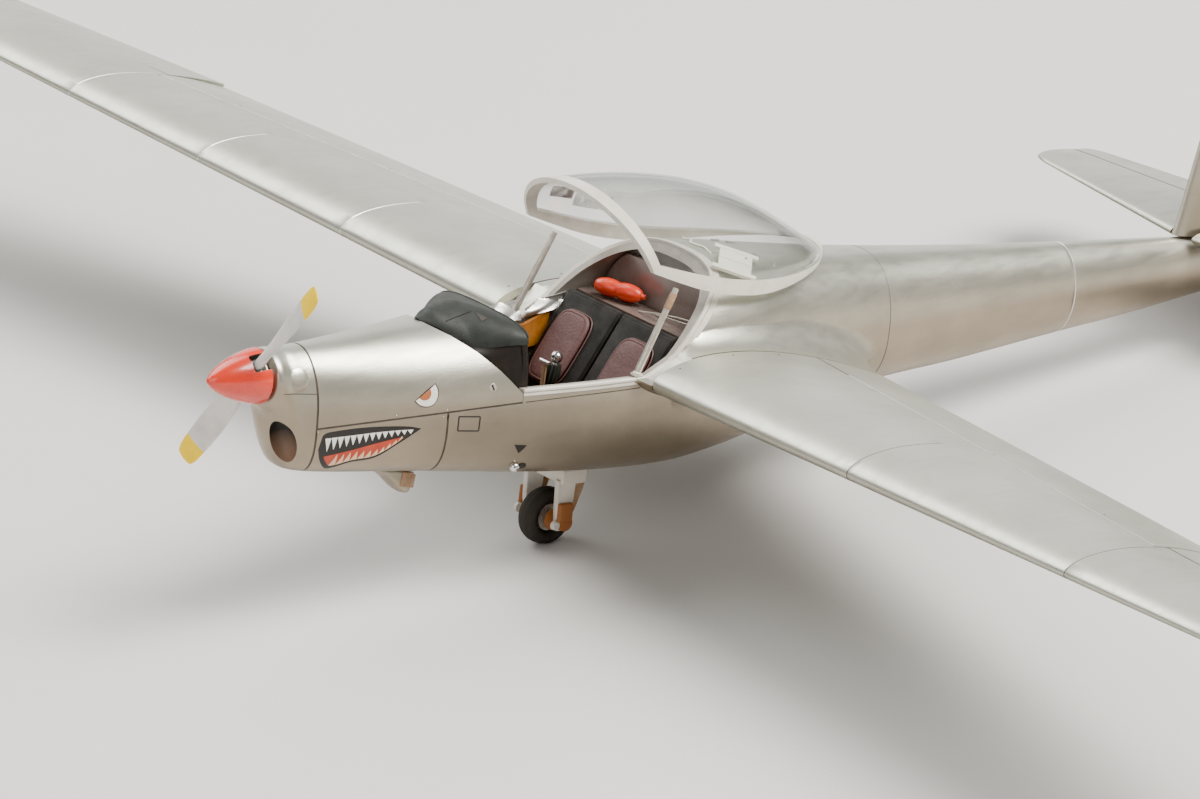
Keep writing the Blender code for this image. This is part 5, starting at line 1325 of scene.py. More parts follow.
@dataclass
class Canopy:
    """Raised canopy with its painted frame, arms and vent.

    Attributes:
        stations: Rim y, rim half width, rim z, crown y, crown z.
        wall: Thickness of the moulding.
        front, rear, side: Shares of the surface that the painted frame takes.
        slit: Share left open between the clear part and its frame.
        vents: Name, shares along and across, and finish of the vent's two panes.
    """

    stations: Rows = (
        (52.9, 11.8, 11.0, 49.0, 18.4), (57.0, 11.7, 9.5, 54.5, 18.7), (61.0, 11.6, 8.2, 60.0, 18.45),
        (65.5, 11.4, 7.2, 66.0, 17.6), (70.0, 11.0, 6.7, 71.5, 16.1), (74.5, 10.0, 6.8, 76.5, 14.0),
        (78.8, 8.4, 7.2, 80.6, 11.8), (82.4, 6.3, 7.6, 83.4, 10.2), (84.8, 4.1, 8.0, 85.2, 9.2),
        (86.3, 2.3, 8.25, 86.5, 9.0))
    wall: float = 0.5
    front: float = 0.04
    rear: float = 0.88
    side: float = 0.055
    slit: float = 0.004
    vents: tuple[tuple[str, Row, Row, Finish], ...] = (
        ("canopy_vent", (0.09, 0.17), (0.81, 0.87), VENT_TINT),
        ("canopy_vent_slide", (0.18, 0.3), (0.84, 0.9), VENT_MILK))
    arm_base: Row = (11.55, 52.4, -0.95)
    arm_top: Row = (11.25, 57.0, 8.7)
    arm_radius: float = 0.42

    def surface(self, s: float, t: float) -> Vector:
        """Point at share s from front to rear and share t from port rim to starboard rim."""
        last = len(self.stations) - 1
        table = [(k / last, *row) for k, row in enumerate(self.stations)]
        rim_y, half, rim_z, crown_y, crown_z = smooth_row(table, s)
        rise = math.sin(math.pi * t)
        return Vector((half * math.cos(math.pi * t), lerp(rim_y, crown_y, rise), lerp(rim_z, crown_z, rise)))

    def skin(self, rows: Sequence[float], columns: Sequence[float], depth: float, lift: float = 0.0) -> Mesh:
        """Wall over a grid of shares, lifted off the moulding's outside."""
        last_row, last_column = len(rows) - 1, len(columns) - 1
        mesh = Mill.sheet(last_column, last_row, lambda u, v: self.surface(
            rows[round(v * last_row)], columns[round(u * last_column)]))
        bmesh.ops.recalc_face_normals(mesh, faces=mesh.faces)
        if sum(face.normal.z * face.calc_area() for face in mesh.faces) < 0:
            bmesh.ops.reverse_faces(mesh, faces=mesh.faces)
        mesh.normal_update()
        for vert, normal in [(vert, vert.normal.copy()) for vert in mesh.verts]:
            vert.co += normal * lift
        return Mill.thicken(mesh, depth)

    def build(self, bench: Bench) -> None:
        """Make the clear moulding, the frame and what is fixed to them."""
        glass = self.skin(steps(self.front + self.slit, self.rear - self.slit, 64),
                          steps(self.side + self.slit, 1 - self.side - self.slit, 72), self.wall)
        bench.piece("canopy_clear", glass, CLEAR, stands_for=["canopy_glass"])
        along, edge = steps(self.front, self.rear, 64), steps(0.0, self.side, 4)
        other = [1 - share for share in reversed(edge)]
        around = edge[:-1] + steps(self.side, 1 - self.side, 72) + other[1:]
        strips = ((steps(0.0, self.front, 4), around), (steps(self.rear, 1.0, 16), around), (along, edge),
                  (along, other))
        frame = Mill.merge(self.skin(rows, columns, self.wall + 0.12, 0.06) for rows, columns in strips)
        bench.dressed("canopy_frame", frame, RIM_WHITE, sharp=45.0)
        for name, rows, columns, finish in self.vents:
            bench.piece(name, self.skin(steps(*rows, 10), steps(*columns, 10), 0.1, 0.12), finish)
        for side in Side:
            base, top = (Vector((x * side.value, y, z)) for x, y, z in (self.arm_base, self.arm_top))
            arm = Mill.bar(base, top, self.arm_radius, self.arm_radius * 0.82, 24, 0.08)
            bench.dressed("canopy_arm_" + side.word, arm, ROD_GREY)
            block = Mill.box(base + Vector((-0.75, -0.3, -0.35)), base + Vector((0.3, 0.75, -0.05)), 0.08)
            foot = Mill.merge([Mill.ball(base + Vector((0, 0, 0.05)), (0.5, 0.5, 0.32)), block])
            bench.piece("arm_foot_" + side.word, foot, RIM_WHITE)
        # The loop ends on the starboard arm, and the sleeve sits on the port one.
        sleeve = Mill.bar(top.lerp(base, 0.24), top.lerp(base, 0.06), 0.44, 0.43, 24, 0.04)
        bench.piece("arm_sleeve", Mill.move(sleeve, Matrix.Diagonal((-1, 1, 1, 1))), BARE_TAN)


@dataclass
class Propeller:
    """Spinner, two blades and the backplate.

    Attributes:
        turn: How far the blades stand turned from upright.
        profile: y and radius of the spinner.
        rows: Reach, chord, thickness and twist in degrees of a blade.
        tip_from: Reach at which the painted tip starts.
    """

    centre: Row = (0.0, 5.9, -0.35)
    turn: float = math.radians(38.6)
    profile: Rows = ((0.16, 0.3), (0.78, 0.93), (1.8, 1.61), (3.15, 2.25), (4.5, 2.72), (5.85, 3.06),
                     (6.85, 3.2))
    rows: Rows = ((1.2, 1.9, 1.3, 52), (3.6, 2.15, 1.1, 47), (6.0, 2.7, 0.8, 35), (9.5, 3.1, 0.6, 25),
                  (13.0, 3.0, 0.45, 18), (15.4, 2.75, 0.36, 15), (16.2, 2.3, 0.3, 14))
    tip_from: float = 13.35

    def spread(self, mesh: Mesh, extra: float) -> Mesh:
        """Turn a mesh from the blade's own axis to its place."""
        return Mill.move(mesh, Matrix.Translation(self.centre) @ Matrix.Rotation(self.turn + extra, 4, "Y"))

    def blade(self) -> Mesh:
        """One blade along z, with its tip marked by material index 1."""
        places = steps(self.rows[0][0], self.tip_from, 40) + steps(self.tip_from, self.rows[-1][0], 16)[1:]
        rings = []
        for reach in places:
            chord, thick, twist = smooth_row(self.rows, reach)
            turn = Matrix.Rotation(-math.radians(twist), 3, "Z")
            rings.append([turn @ Vector((c * chord / 2, signed(s, 1.25) * thick / 2, reach))
                          for c, s in circle(32)])
        last, middle = rings[-1], Vector((0, 0, places[-1]))
        for angle in steps(0, math.pi / 2, 4)[1:]:
            rise = UP * (chord * 0.18 * math.sin(angle))
            rings.append([middle + (p - middle) * max(math.cos(angle), 0.04) + rise for p in last])
        return Mill.tint(Mill.loft(rings), 1, lambda p: p.z > self.tip_from)

    def build(self, bench: Bench) -> None:
        """Make the turning pieces."""
        z = self.centre[2]
        curve = [(0.0, 0.04), (0.17, 0.08),
                 *((smooth_row(self.profile, y)[0], y) for y in steps(0.16, 6.85, 48))]
        # the faces cut by the bore and the blade slots take the dark finish: painted shade inside them
        tools = [Mill.bar((0, 4.6, z), (0, 7.9, z), 2.2)]
        tools += [self.spread(Mill.box((-1.1, -1.15, 0.4), (1.1, 1.6, 6.0), 0.3), extra)
                  for extra in (0.0, math.pi)]
        spinner = Mill.carve(Mill.turned(curve, (0, 0, z), "Y", 96),
                             [(Mill.tint(tool), Carve.AWAY) for tool in tools])
        bench.dressed("spinner", spinner, RED, DARK_PAINT_AND_PAINTED_SHADE, body=Body.PROPELLER)
        blades = [self.spread(self.blade(), extra) for extra in (0.0, math.pi)]
        hub = Mill.bar((0, 4.9, z), (0, 6.5, z), 1.9, None, 32, 0.15)
        bench.dressed("propeller_blades", Mill.merge([*blades, hub]), BLADE_WHITE, TIP_YELLOW,
                      body=Body.PROPELLER)
        plate = Mill.bar((0, 6.95, z), (0, 7.22, z), 2.05, None, 48, 0.05)
        bench.dressed("spinner_backplate", plate, ROD_GREY, body=Body.PROPELLER)


@dataclass
class Cockpit:
    """Hood, panel, seats, controls and what lies behind the seats.

    Attributes:
        hood: y, half width, foot, crown and squareness.
        seat_edges: Inner and outer edge of a seat's back.
        back_pad: Half width, foot along the back, length.
        pad_profile: Height and scale of each ring of a pad.
        bottle: Radius and share of the length.
        ledge: y and height of the trim ledges.
    """

    hood: Rows = ((28.7, 0.4, 4.3, 4.42, 1.6), (29.6, 1.35, 3.95, 4.75, 1.6), (30.4, 2.2, 3.6, 5.3, 1.6),
                  (31.4, 3.3, 3.05, 5.5, 1.6), (32.5, 4.4, 2.42, 5.75, 1.6), (33.2, 5.05, 2.05, 5.85, 1.65),
                  (34.2, 6.0, 2.1, 5.85, 1.8), (35.5, 7.0, 2.4, 5.65, 2.1), (36.5, 7.6, 2.65, 5.4, 2.4),
                  (37.5, 8.1, 2.8, 5.15, 2.8), (38.5, 8.5, 2.85, 4.9, 3.0))
    panel_outline: Rows = ((33.3, 1.76), (34.2, 1.84), (36.9, 3.2), (36.9, -1.45), (35.2, 0.14))
    panel_half: float = 5.6
    panel_face_y: float = 36.9
    dial_pitch: float = 2.1
    dial_rim: Rows = ((1.0, 0.0), (1.0, 0.14), (0.94, 0.18), (0.84, 0.14), (0.82, 0.02))
    seat_top: Row = (59.1, 2.2)
    seat_lean: float = math.radians(32.0)
    seat_x: float = 5.65
    seat_edges: Row = (0.15, 9.9)
    pan_half: float = 3.2
    seat_depth: float = 13.87
    seat_thick: float = 1.0
    back_pad: Row = (2.9, -11.6, 9.3)
    pad_profile: Rows = ((0.0, 0.9), (0.3, 0.985), (0.55, 1.0), (0.78, 0.97), (0.9, 0.925), (0.93, 0.895),
                         (0.86, 0.872), (0.93, 0.845), (0.98, 0.75), (1.02, 0.55), (1.05, 0.3), (1.06, 0.05))
    bottle_ends: Rows = ((-8.2, 61.45, 2.95), (-2.1, 63.65, 2.95))
    bottle: Rows = ((0.1, 0.0), (0.45, 0.012), (0.72, 0.06), (0.9, 0.13), (1.03, 0.22), (1.05, 0.32),
                    (0.98, 0.42), (0.9, 0.48), (0.93, 0.53), (1.02, 0.6), (1.05, 0.7), (1.0, 0.8),
                    (0.86, 0.88), (0.62, 0.95), (0.38, 0.985), (0.1, 1.0))
    ledge: Rows = ((46.2, -5.2), (50.0, -5.2), (53.2, -5.0), (56.6, -4.62))

    def build(self, bench: Bench, hull: Fuselage, frame: dict[str, Any]) -> None:
        """Make everything inside the cabin."""
        self.build_hood(bench, hull)
        self.build_panel(bench)
        for side in Side:
            self.build_seat(bench, side)
            self.build_stick(bench, side)
        self.build_console(bench)
        self.build_rear(bench, hull)
        for node, finish in (("cockpit_floor", FLOOR_GREY), ("rear_bulkhead", BULKHEAD_DARK),
                             ("parcel_shelf", BULKHEAD_DARK), ("side_trim_port", TAN),
                             ("side_trim_starboard", TAN)):
            for slot in frame["nodes"][node].material_slots:
                slot.material = finish.material

    def hood_point(self, x: float, y: float, lift: float = 0.0) -> Vector:
        """Point on the hood's face above a place on the floor."""
        half, foot, crown, squareness = smooth_row(self.hood, y)
        share = min(abs(x) / half, 1.0) ** squareness
        return Vector((x, y, foot + (crown - foot) * (1 - share) ** (1 / squareness) + lift))

    def build_hood(self, bench: Bench, hull: Fuselage) -> None:
        """Hood over the instruments, the dark wall under its lip, a notch shown by a film of painted shade,
        and a thin crease.
        """
        rings = []
        for y in steps(self.hood[0][0], self.hood[-1][0], 48):
            half, foot, crown, squareness = smooth_row(self.hood, y)
            rings.append([Vector((half * signed(math.cos(angle), 2.0 / squareness), y,
                                  foot + (crown - foot) * math.sin(angle) ** (2.0 / squareness)))
                          for angle in (math.pi * k / 64 for k in range(65))])
        bench.dressed("glareshield", Mill.round_edges(Mill.loft(rings), 0.14, 3, 60.0), BLACK, sharp=40.0)

        def wall(u: float, v: float) -> Vector:
            """Point of the wall between the cowl's edge and the hood's lip."""
            y = lerp(32.2, 38.9, u)
            half, foot, _, _ = smooth_row(self.hood, min(y, 38.5))
            cut = along_table(Nose.screen_foot, y) if y < 37.8 else -2.6
            low = Vector((hull.half_at(y, cut - 0.3) - 0.95, y, cut - 0.3))
            high = Vector((half - 0.2, y - 0.4 * (y > 38.0), foot + 0.15))
            return low.lerp(high, v) + Vector((0.25, 0.0, 0.1)) * math.sin(math.pi * v)
        for side in Side:
            sheet = Mill.thicken(Mill.sheet(28, 12, wall), 0.22)
            bench.piece("hood_wall_" + side.word, Mill.other_side(sheet, side), HOOD_BROWN)
        # the notch is a thin dark film laid on the hood: painted shade of a pressed mark
        corner, left, right = Vector((2.9, 34.7)), Vector((4.4, 35.5)), Vector((4.4, 34.64))
        mark = Mill.sheet(6, 6, lambda u, v: self.hood_point(*corner.lerp(left.lerp(right, v), u), 0.03))
        bench.piece("hood_notch", Mill.thicken(mark, 0.03), DARK_PAINT_AND_PAINTED_SHADE)
        crease = [self.hood_point(*Vector((2.3, 31.2)).lerp(Vector((2.65, 34.4)), t))
                  for t in steps(0, 1, 12)]
        bench.piece("hood_crease", Mill.tube(crease, 0.055, 8), HOOD_BROWN)
        lip = [self.hood_point(8.5 * math.cos(angle) * 0.985, 38.5)
               for angle in steps(0.12, math.pi - 0.12, 60)]
        bench.piece("hood_lip", Mill.tube(lip, 0.13, 10), BLACK)

    def build_panel(self, bench: Bench) -> None:
        """Panel with two rows of plain round dials."""
        panel = Mill.round_edges(Mill.prism(self.panel_outline, -self.panel_half, self.panel_half), 0.12)
        bench.dressed("instrument_panel", panel, BLACK)
        rims, faces, hands = [], [], []
        y = self.panel_face_y
        for row, (z, radius) in enumerate(((1.95, 0.78), (0.05, 0.68))):
            for column in range(5):
                x = (column - 2) * self.dial_pitch
                profile = [(radius * share, place) for share, place in self.dial_rim]
                rims.append(Mill.turned(profile, (x, y, z), "Y", 28, False))
                faces.append(Mill.bar((x, y, z), (x, y + 0.05, z), radius * 0.84, None, 28))
                middle, angle = Vector((x, y + 0.07, z)), 0.7 + 1.1 * column + row
                tip = middle + Vector((math.sin(angle), 0, math.cos(angle))) * radius * 0.62
                hands.append(Mill.bar(middle, tip, 0.05, 0.02, 8))
                middle = Vector((x, y + 0.055, z))
                for c, s in circle(10):
                    out = Vector((s, 0, c)) * radius
                    hands.append(Mill.bar(middle + out * 0.66, middle + out * 0.78, 0.022, None, 6))
        for word, parts, finish in (("rims", rims, ROD_GREY), ("faces", faces, PAINT_BLACK),
                                    ("hands", hands, DIAL)):
            bench.piece("dial_" + word, Mill.merge(parts), finish)

    def pad(self, half: float, length: float, thick: float) -> Mesh:
        """Crowned pad lying on z = 0 with a sewn border and a channel across.

        Args:
            half: Half its width, along x.
            length: Its length, along y from 0.
            thick: Height of its crown.

        Returns:
            The closed pad.
        """
        rings = []
        for rise, scale in self.pad_profile:
            ring = []
            for c, s in circle(96):
                x = signed(c, 0.5) * (half - (1 - scale) * half)
                y = signed(s, 0.5) * (length / 2 - (1 - scale) * half)
                pinch = 1 - 0.02 * (1 - abs(x / half) ** 4) * (abs(y) / (length / 2)) ** 4
                sink = 0.07 * math.exp(-((y - length * 0.14) / 0.22) ** 2) if rise > 0.92 else 0.0
                ring.append(Vector((x * pinch, y + length / 2, (rise - sink) * thick)))
            rings.append(ring)
        return Mill.loft(rings)

    def build_seat(self, bench: Bench, side: Side) -> None:
        """Seat shell with its back and seat pads, piped round the edge."""
        x, depth, lean = self.seat_x * side.value, self.seat_depth, self.seat_lean
        place = Matrix.Translation((0, *self.seat_top)) @ Matrix.Rotation(-lean, 4, "X")
        low_z = self.seat_top[1] - depth * math.cos(lean) - self.seat_thick * math.sin(lean)
        low_y = self.seat_top[0] - depth * math.sin(lean)
        inner, outer = sorted(edge * side.value for edge in self.seat_edges)
        shell = [Mill.box((inner, 0.0, -depth), (outer, self.seat_thick, 0.0), 0.3, 4),
                 Mill.box((inner + 0.25, -0.16, -depth + 0.5), (outer - 0.25, 0.2, -0.45), 0.15, 3)]
        pan = Mill.box((x - self.pan_half, 45.5, low_z - 0.2),
                       (x + self.pan_half, low_y + 1.2, low_z + 0.9), 0.2)
        whole = Mill.merge([Mill.move(Mill.merge(shell), place), pan])
        bench.dressed("seat_shell_" + side.word, whole, SEAT_BLACK)
        half, foot, length = self.back_pad
        stand = Matrix.Translation((x, -0.16, foot)) @ Matrix.Rotation(QUARTER, 4, "X")
        for word, pad, spot in (("back", self.pad(half, length, 0.75), place @ stand),
                                ("seat", self.pad(3.0, low_y - 0.9 - 45.7, 1.35),
                                 Matrix.Translation((x, 45.7, low_z + 0.92)))):
            bench.dressed(f"{word}_cushion_{side.word}", Mill.move(pad, spot), UPHOLSTERY, sharp=60.0)
        cord = [place @ Vector((x + signed(math.cos(angle), 0.5) * (half + 0.12), -0.2,
                                foot + (signed(math.sin(angle), 0.5) + 1) * (length + 0.1) / 2))
                for angle in (2 * math.pi * k / 96 - math.pi / 2 for k in range(97))]
        bench.piece("seat_piping_" + side.word, Mill.tube(cord, 0.09, 8), PIPING)

    def build_stick(self, bench: Bench, side: Side) -> None:
        """Control stick with a ribbed grip in front of a seat."""
        x = self.seat_x * side.value
        foot, neck, head = Vector((x, 42.6, -12.3)), Vector((x, 43.4, -6.6)), Vector((x, 43.7, -4.4))
        parts = [Mill.bar(foot, neck, 0.3, 0.26), Mill.ball(foot + UP * 0.1, (0.8, 0.8, 0.5)),
                 Mill.bar(neck - UP * 0.1, head, 0.44, 0.5, 24, 0.1)]
        parts += [Mill.bar(neck.lerp(head, share), neck.lerp(head, share + 0.07), 0.53, None, 24, 0.03)
                  for share in (0.1, 0.3, 0.5, 0.7)]
        bench.dressed("control_stick_" + side.word, Mill.merge(parts), BLACK)

    def build_console(self, bench: Bench) -> None:
        """Console between the seats with its lever, bright knob and small handle."""
        parts = [Mill.box((-0.8, 43.0, -12.3), (0.8, 51.0, -7.6), 0.18, 3),
                 Mill.bar((0.3, 48.9, -7.9), (0.3, 49.6, -3.4), 0.3, 0.26)]
        rings = []
        for share in steps(0, 1, 12):
            wide = 0.62 + 0.3 * math.sin(math.pi * (0.18 + 0.7 * share))
            ring = []
            for k, (c, s) in enumerate(circle(72)):
                reach = wide * (1 + 0.07 * math.cos(12 * 2 * math.pi * k / 72))
                ring.append(Vector((0.3 + reach * c, lerp(49.2, 49.6, share) + reach * s,
                                    lerp(-5.2, -3.1, share))))
            rings.append(ring)
        bench.dressed("centre_console", Mill.merge([*parts, Mill.loft(rings)]), BLACK)
        knob = [Mill.ball((0.3, 49.75, -2.3), (0.72, 0.72, 0.72), None, 48),
                Mill.bar((0.3, 49.62, -3.3), (0.3, 49.66, -2.9), 0.42, 0.34, 24, 0.04)]
        bench.dressed("lever_knob", Mill.merge(knob), STEEL)
        bench.piece("small_handle_stem", Mill.box((-0.25, 48.2, -7.8), (0.45, 48.42, -2.95), 0.06), BARE_TAN)
        handle = Mill.bar((-0.75, 48.3, -2.75), (0.95, 48.3, -2.75), 0.24, None, 20, 0.07)
        bench.piece("small_handle", handle, STEEL)
        boot = Mill.turned([(0.7, -7.62), (0.62, -7.4), (0.5, -7.3), (0.46, -7.1), (0.34, -7.0), (0.3, -6.8)],
                           (0, 0, 0), "Y", 24)
        upright = Matrix.Translation((0.3, 48.95, 0)) @ Matrix.Rotation(QUARTER, 4, "X")
        bench.piece("lever_boot", Mill.move(boot, upright), SEAT_BLACK)

    def build_rear(self, bench: Bench, hull: Fuselage) -> None:
        """Ribbed bottle, rods, foil and the trim ledges."""
        start, end = (Vector(point) for point in self.bottle_ends)
        length = (end - start).length
        table = [(share * length, radius) for radius, share in self.bottle]
        smooth = [(max(smooth_row(table, place)[0], 0.08), place) for place in steps(0.0, length, 60)]
        aim = (end - start).to_track_quat("Y", "Z").to_matrix().to_4x4()
        bottle = Mill.move(Mill.turned(smooth, (0, 0, 0), "Y", 48), Matrix.Translation(start) @ aim)
        bench.dressed("red_bottle", bottle, BOTTLE_RED)
        cap = Mill.bar(end.lerp(start, 0.02), end.lerp(start, -0.05), 0.34, 0.3, 24, 0.05)
        bench.piece("bottle_cap", cap, RED)
        rods = [Mill.tube([(-0.9, 62.2, 1.7), (2.6, 62.2, 2.5), (6.5, 62.0, 3.2), (11.2, 61.6, 3.9)], 0.09),
                Mill.tube([(0.6, 63.4, 1.7), (4.0, 63.3, 2.1), (7.6, 63.1, 2.5), (11.2, 62.9, 2.8)], 0.08)]
        bench.piece("rear_rods", Mill.merge(rods), ROD_GREY)
        bench.piece("crumpled_foil", self.foil_sheet(), FOIL, sharp=25.0)
        for side in Side:
            ledge = Mill.loft([[Vector((hull.half_at(y, z) - depth, y, z)) for depth, z in (
                (0.75, low), (0.75, low + 1.05), (1.15, low + 0.95), (1.15, low))] for y, low in self.ledge])
            rounded = Mill.other_side(Mill.round_edges(ledge, 0.06), side)
            bench.piece("trim_ledge_" + side.word, rounded, TAN_LIGHT)

    @staticmethod
    def foil_sheet() -> Mesh:
        """Crumpled foil tucked beside the starboard seat, and its end folded over the sill."""
        sheets = []
        # Columns: x at the foot, lean outwards, range along y, feet, tops.
        for foot_x, lean, reach, feet, tops in ((-10.9, 0.0, (52.8, 59.0), (-1.3, -0.5), (0.2, 1.6)),
                                                (-10.7, 1.1, (48.6, 52.9), (-1.75, -1.7), (0.3, 0.75))):
            def place(u: float, v: float) -> Vector:
                """Point of the crumpled sheet."""
                crease = abs(math.sin(2.4 * u + 2.0 * v)) + 0.6 * abs(math.sin(3.6 * v - 2.9 * u + 0.8))
                return Vector((foot_x - lean * v + 0.8 * crease * (1 - 0.4 * u) * (0.4 if lean else 1.0),
                               lerp(*reach, u) + 0.25 * math.sin(4 * v),
                               lerp(lerp(*feet, u), lerp(*tops, u), v) + 0.2 * crease * (1 - v)))
            sheets.append(Mill.thicken(Mill.sheet(30, 14, place), 0.07))
        return Mill.merge(sheets)


@dataclass
class Gear:
    """Main and tail wheels with their forks, and the outriggers.

    Attributes:
        main_wheel: Radius, bore and width of the tyre, as tail_wheel and outrigger_wheel.
        main_hub: Radius and share of the half width, from the outside in, as tail_hub.
        outrigger_hub: Radius and half width.
        outrigger_x: Span place of the outriggers; outrigger_share is their share of the chord, and
            outrigger_reach is how far aft their wheels trail.
        stay: y and z of a fork stay's outline, y from the axle.
        brake_disc: Radius and place of the brake's disc.
    """

    main_wheel: Row = (3.4, 1.7, 2.6)
    main_hub: Rows = ((0.3, 0.98), (0.62, 0.95), (0.7, 0.8), (1.45, 0.6), (1.62, 0.62), (1.64, 0.45))
    tail_wheel: Row = (2.0, 0.95, 1.2)
    tail_hub: Rows = ((0.2, 0.97), (0.4, 0.95), (0.5, 0.6), (0.9, 0.5))
    outrigger_x: float = 122.0
    outrigger_share: float = 0.42
    outrigger_wheel: Row = (1.5, 0.7, 1.0)
    outrigger_hub: Rows = ((0.2, 0.42), (0.6, 0.36), (0.75, 0.3))
    outrigger_reach: float = 2.6
    bolt_circle: float = 1.08
    stay: Rows = ((1.0, -15.3), (2.9, -15.3), (2.5, -17.6), (1.5, -20.4), (0.7, -20.4))
    brake_disc: Rows = ((0.3, 1.5), (1.3, 1.5), (1.32, 1.66), (1.2, 1.74), (1.2, 1.9), (0.8, 2.1), (0.3, 2.1))

    @staticmethod
    def tyre(centre: Row, radius: float, bore: float, width: float) -> Mesh:
        """Round-shouldered tyre with three grooves in its tread."""
        half, wall = width / 2, radius - bore
        profile = []
        for c, s in circle(48):
            place = half * signed(s, 0.9)
            grooved = c > 0 and any(abs(place - at * half) < 0.07 for at in (-0.5, 0.0, 0.5))
            reach = radius - wall / 2 + signed(c, 0.85) * wall / 2
            profile.append((reach - (FLOOR_DEPTH if grooved else 0.0), place))
        return Mill.turned([*profile, profile[0]], centre, "X", 96, False)

    @staticmethod
    def hub(profile: Sequence[Row], half: float, centre: Row, sides: int) -> Mesh:
        """Hub from one side's profile of radii and shares of its half width."""
        outside, inside = ([(radius, way * half * share) for radius, share in profile] for way in (-1, 1))
        return Mill.turned(outside + inside[::-1], centre, "X", sides)

    @staticmethod
    def leg(inner: float, outer: float, rows: Sequence[Row], bevel: float) -> Mesh:
        """Flat leg between two places in x, from rows of height, first and last y."""
        return Mill.round_edges(Mill.loft([[Vector((x, y, height)) for x, y in (
            (inner, fore), (outer, fore), (outer, aft), (inner, aft))] for height, fore, aft in rows]), bevel)

    def build(self, bench: Bench, wings: Wings) -> None:
        """Make every wheel and leg."""
        self.build_main(bench)
        self.build_brakes(bench)
        self.build_tail(bench)
        self.build_outriggers(bench, wings)

    def build_main(self, bench: Bench) -> None:
        """Main wheel and its fork under the belly."""
        y, z = MAIN_AXLE
        bench.dressed("main_tyre", self.tyre((0, y, z), *self.main_wheel), RUBBER, body=Body.MAIN_WHEEL)
        half = self.main_wheel[2] / 2
        parts = [self.hub(self.main_hub, half, (0, y, z), 64)]
        for side in (-1, 1):
            for c, s in circle(6):
                spot = (y + self.bolt_circle * c, z + self.bolt_circle * s)
                parts.append(Mill.bar((side * half * 0.6, *spot), (side * half * 0.76, *spot), 0.16, None, 6))
        bench.dressed("main_hub", Mill.merge(parts), ROD_GREY, body=Body.MAIN_WHEEL)
        parts = [Mill.box((-3.6, y - 1.0, -16.9), (3.6, y + 2.6, -15.08), 0.25, 3)]
        rows = ((-16.4, y - 1.3, y + 1.3), (-18.6, y - 1.15, y + 1.25), (-20.2, y - 1.05, y + 1.1),
                (z - 0.9, y - 0.75, y + 0.7))
        for sign in (1, -1):
            parts += [self.leg(2.5 * sign, 3.3 * sign, rows, 0.14),
                      Mill.bar((2.14 * sign, y, z), (2.6 * sign, y, z), 0.5),
                      Mill.bar((3.2 * sign, y, z), (3.55 * sign, y, z), 0.62, 0.5, 6)]
        bench.dressed("main_fork", Mill.merge(parts), RIM_WHITE)
        outline = [(y + out, height) for out, height in self.stay]
        stays = [Mill.round_edges(Mill.prism(outline, *ends), 0.08)
                 for ends in ((2.55, 3.25), (-3.25, -2.55))]
        bench.piece("fork_stays", Mill.merge(stays), BARE_TAN)

    def build_brakes(self, bench: Bench) -> None:
        """Disc, caliper and drum on each side of the main wheel, and the lines up to the belly."""
        y, z = MAIN_AXLE
        for side in Side:
            sign = side.value
            cap = Mill.bar((3.2 * sign, y - 1.2, z - 0.05), (3.8 * sign, y - 1.2, z - 0.05),
                           0.62, 0.5, 24, 0.1)
            profile = [(radius, place * sign) for radius, place in self.brake_disc]
            parts = [Mill.turned(profile, (0, y, z), "X", 48),
                     Mill.box((1.52 * sign, y + 0.5, z + 0.25), (2.08 * sign, y + 1.5, z + 1.05), 0.12),
                     Mill.box((3.28 * sign, y - 1.1, z + 0.3), (3.95 * sign, y + 0.9, z + 2.6), 0.22, 3),
                     Mill.bar((3.25 * sign, y + 0.1, z + 0.15), (3.85 * sign, y + 0.1, z + 0.15),
                              1.05, 0.95, 28, 0.12)]
            bench.dressed("brake_" + side.word, Mill.merge([*parts, Mill.tint(cap)]), RUST, RIM_WHITE)
            line = [(2.2 * sign, y + 1.1, z + 0.9), (2.35 * sign, y + 1.5, z + 2.2),
                    (2.4 * sign, y + 1.6, z + 3.6), (2.3 * sign, y + 1.4, -16.6)]
            bench.piece("brake_line_" + side.word, Mill.tube(line, 0.12), TAN)

    def build_tail(self, bench: Bench) -> None:
        """Tail fork and wheel."""
        y, z = TAIL_AXLE
        bench.dressed("tail_tyre", self.tyre((0, y, z), *self.tail_wheel), RUBBER, body=Body.TAIL_WHEEL)
        hub = self.hub(self.tail_hub, self.tail_wheel[2] / 2, (0, y, z), 48)
        bench.dressed("tail_hub", hub, ROD_GREY, body=Body.TAIL_WHEEL)
        post = y - 2.2
        parts = [Mill.box((-1.35, post - 0.7, -4.4), (1.35, post + 0.9, -3.5), 0.15)]
        rows = ((-3.9, post - 0.6, post + 0.8), (z - 0.5, y - 0.5, y + 0.5))
        for sign in (1, -1):
            parts += [self.leg(sign * 0.9, sign * 1.3, rows, 0.08),
                      Mill.bar((sign * 0.62, y, z), (sign * 1.45, y, z), 0.26, None, 6)]
        bench.dressed("tail_fork", Mill.merge(parts), RIM_WHITE)

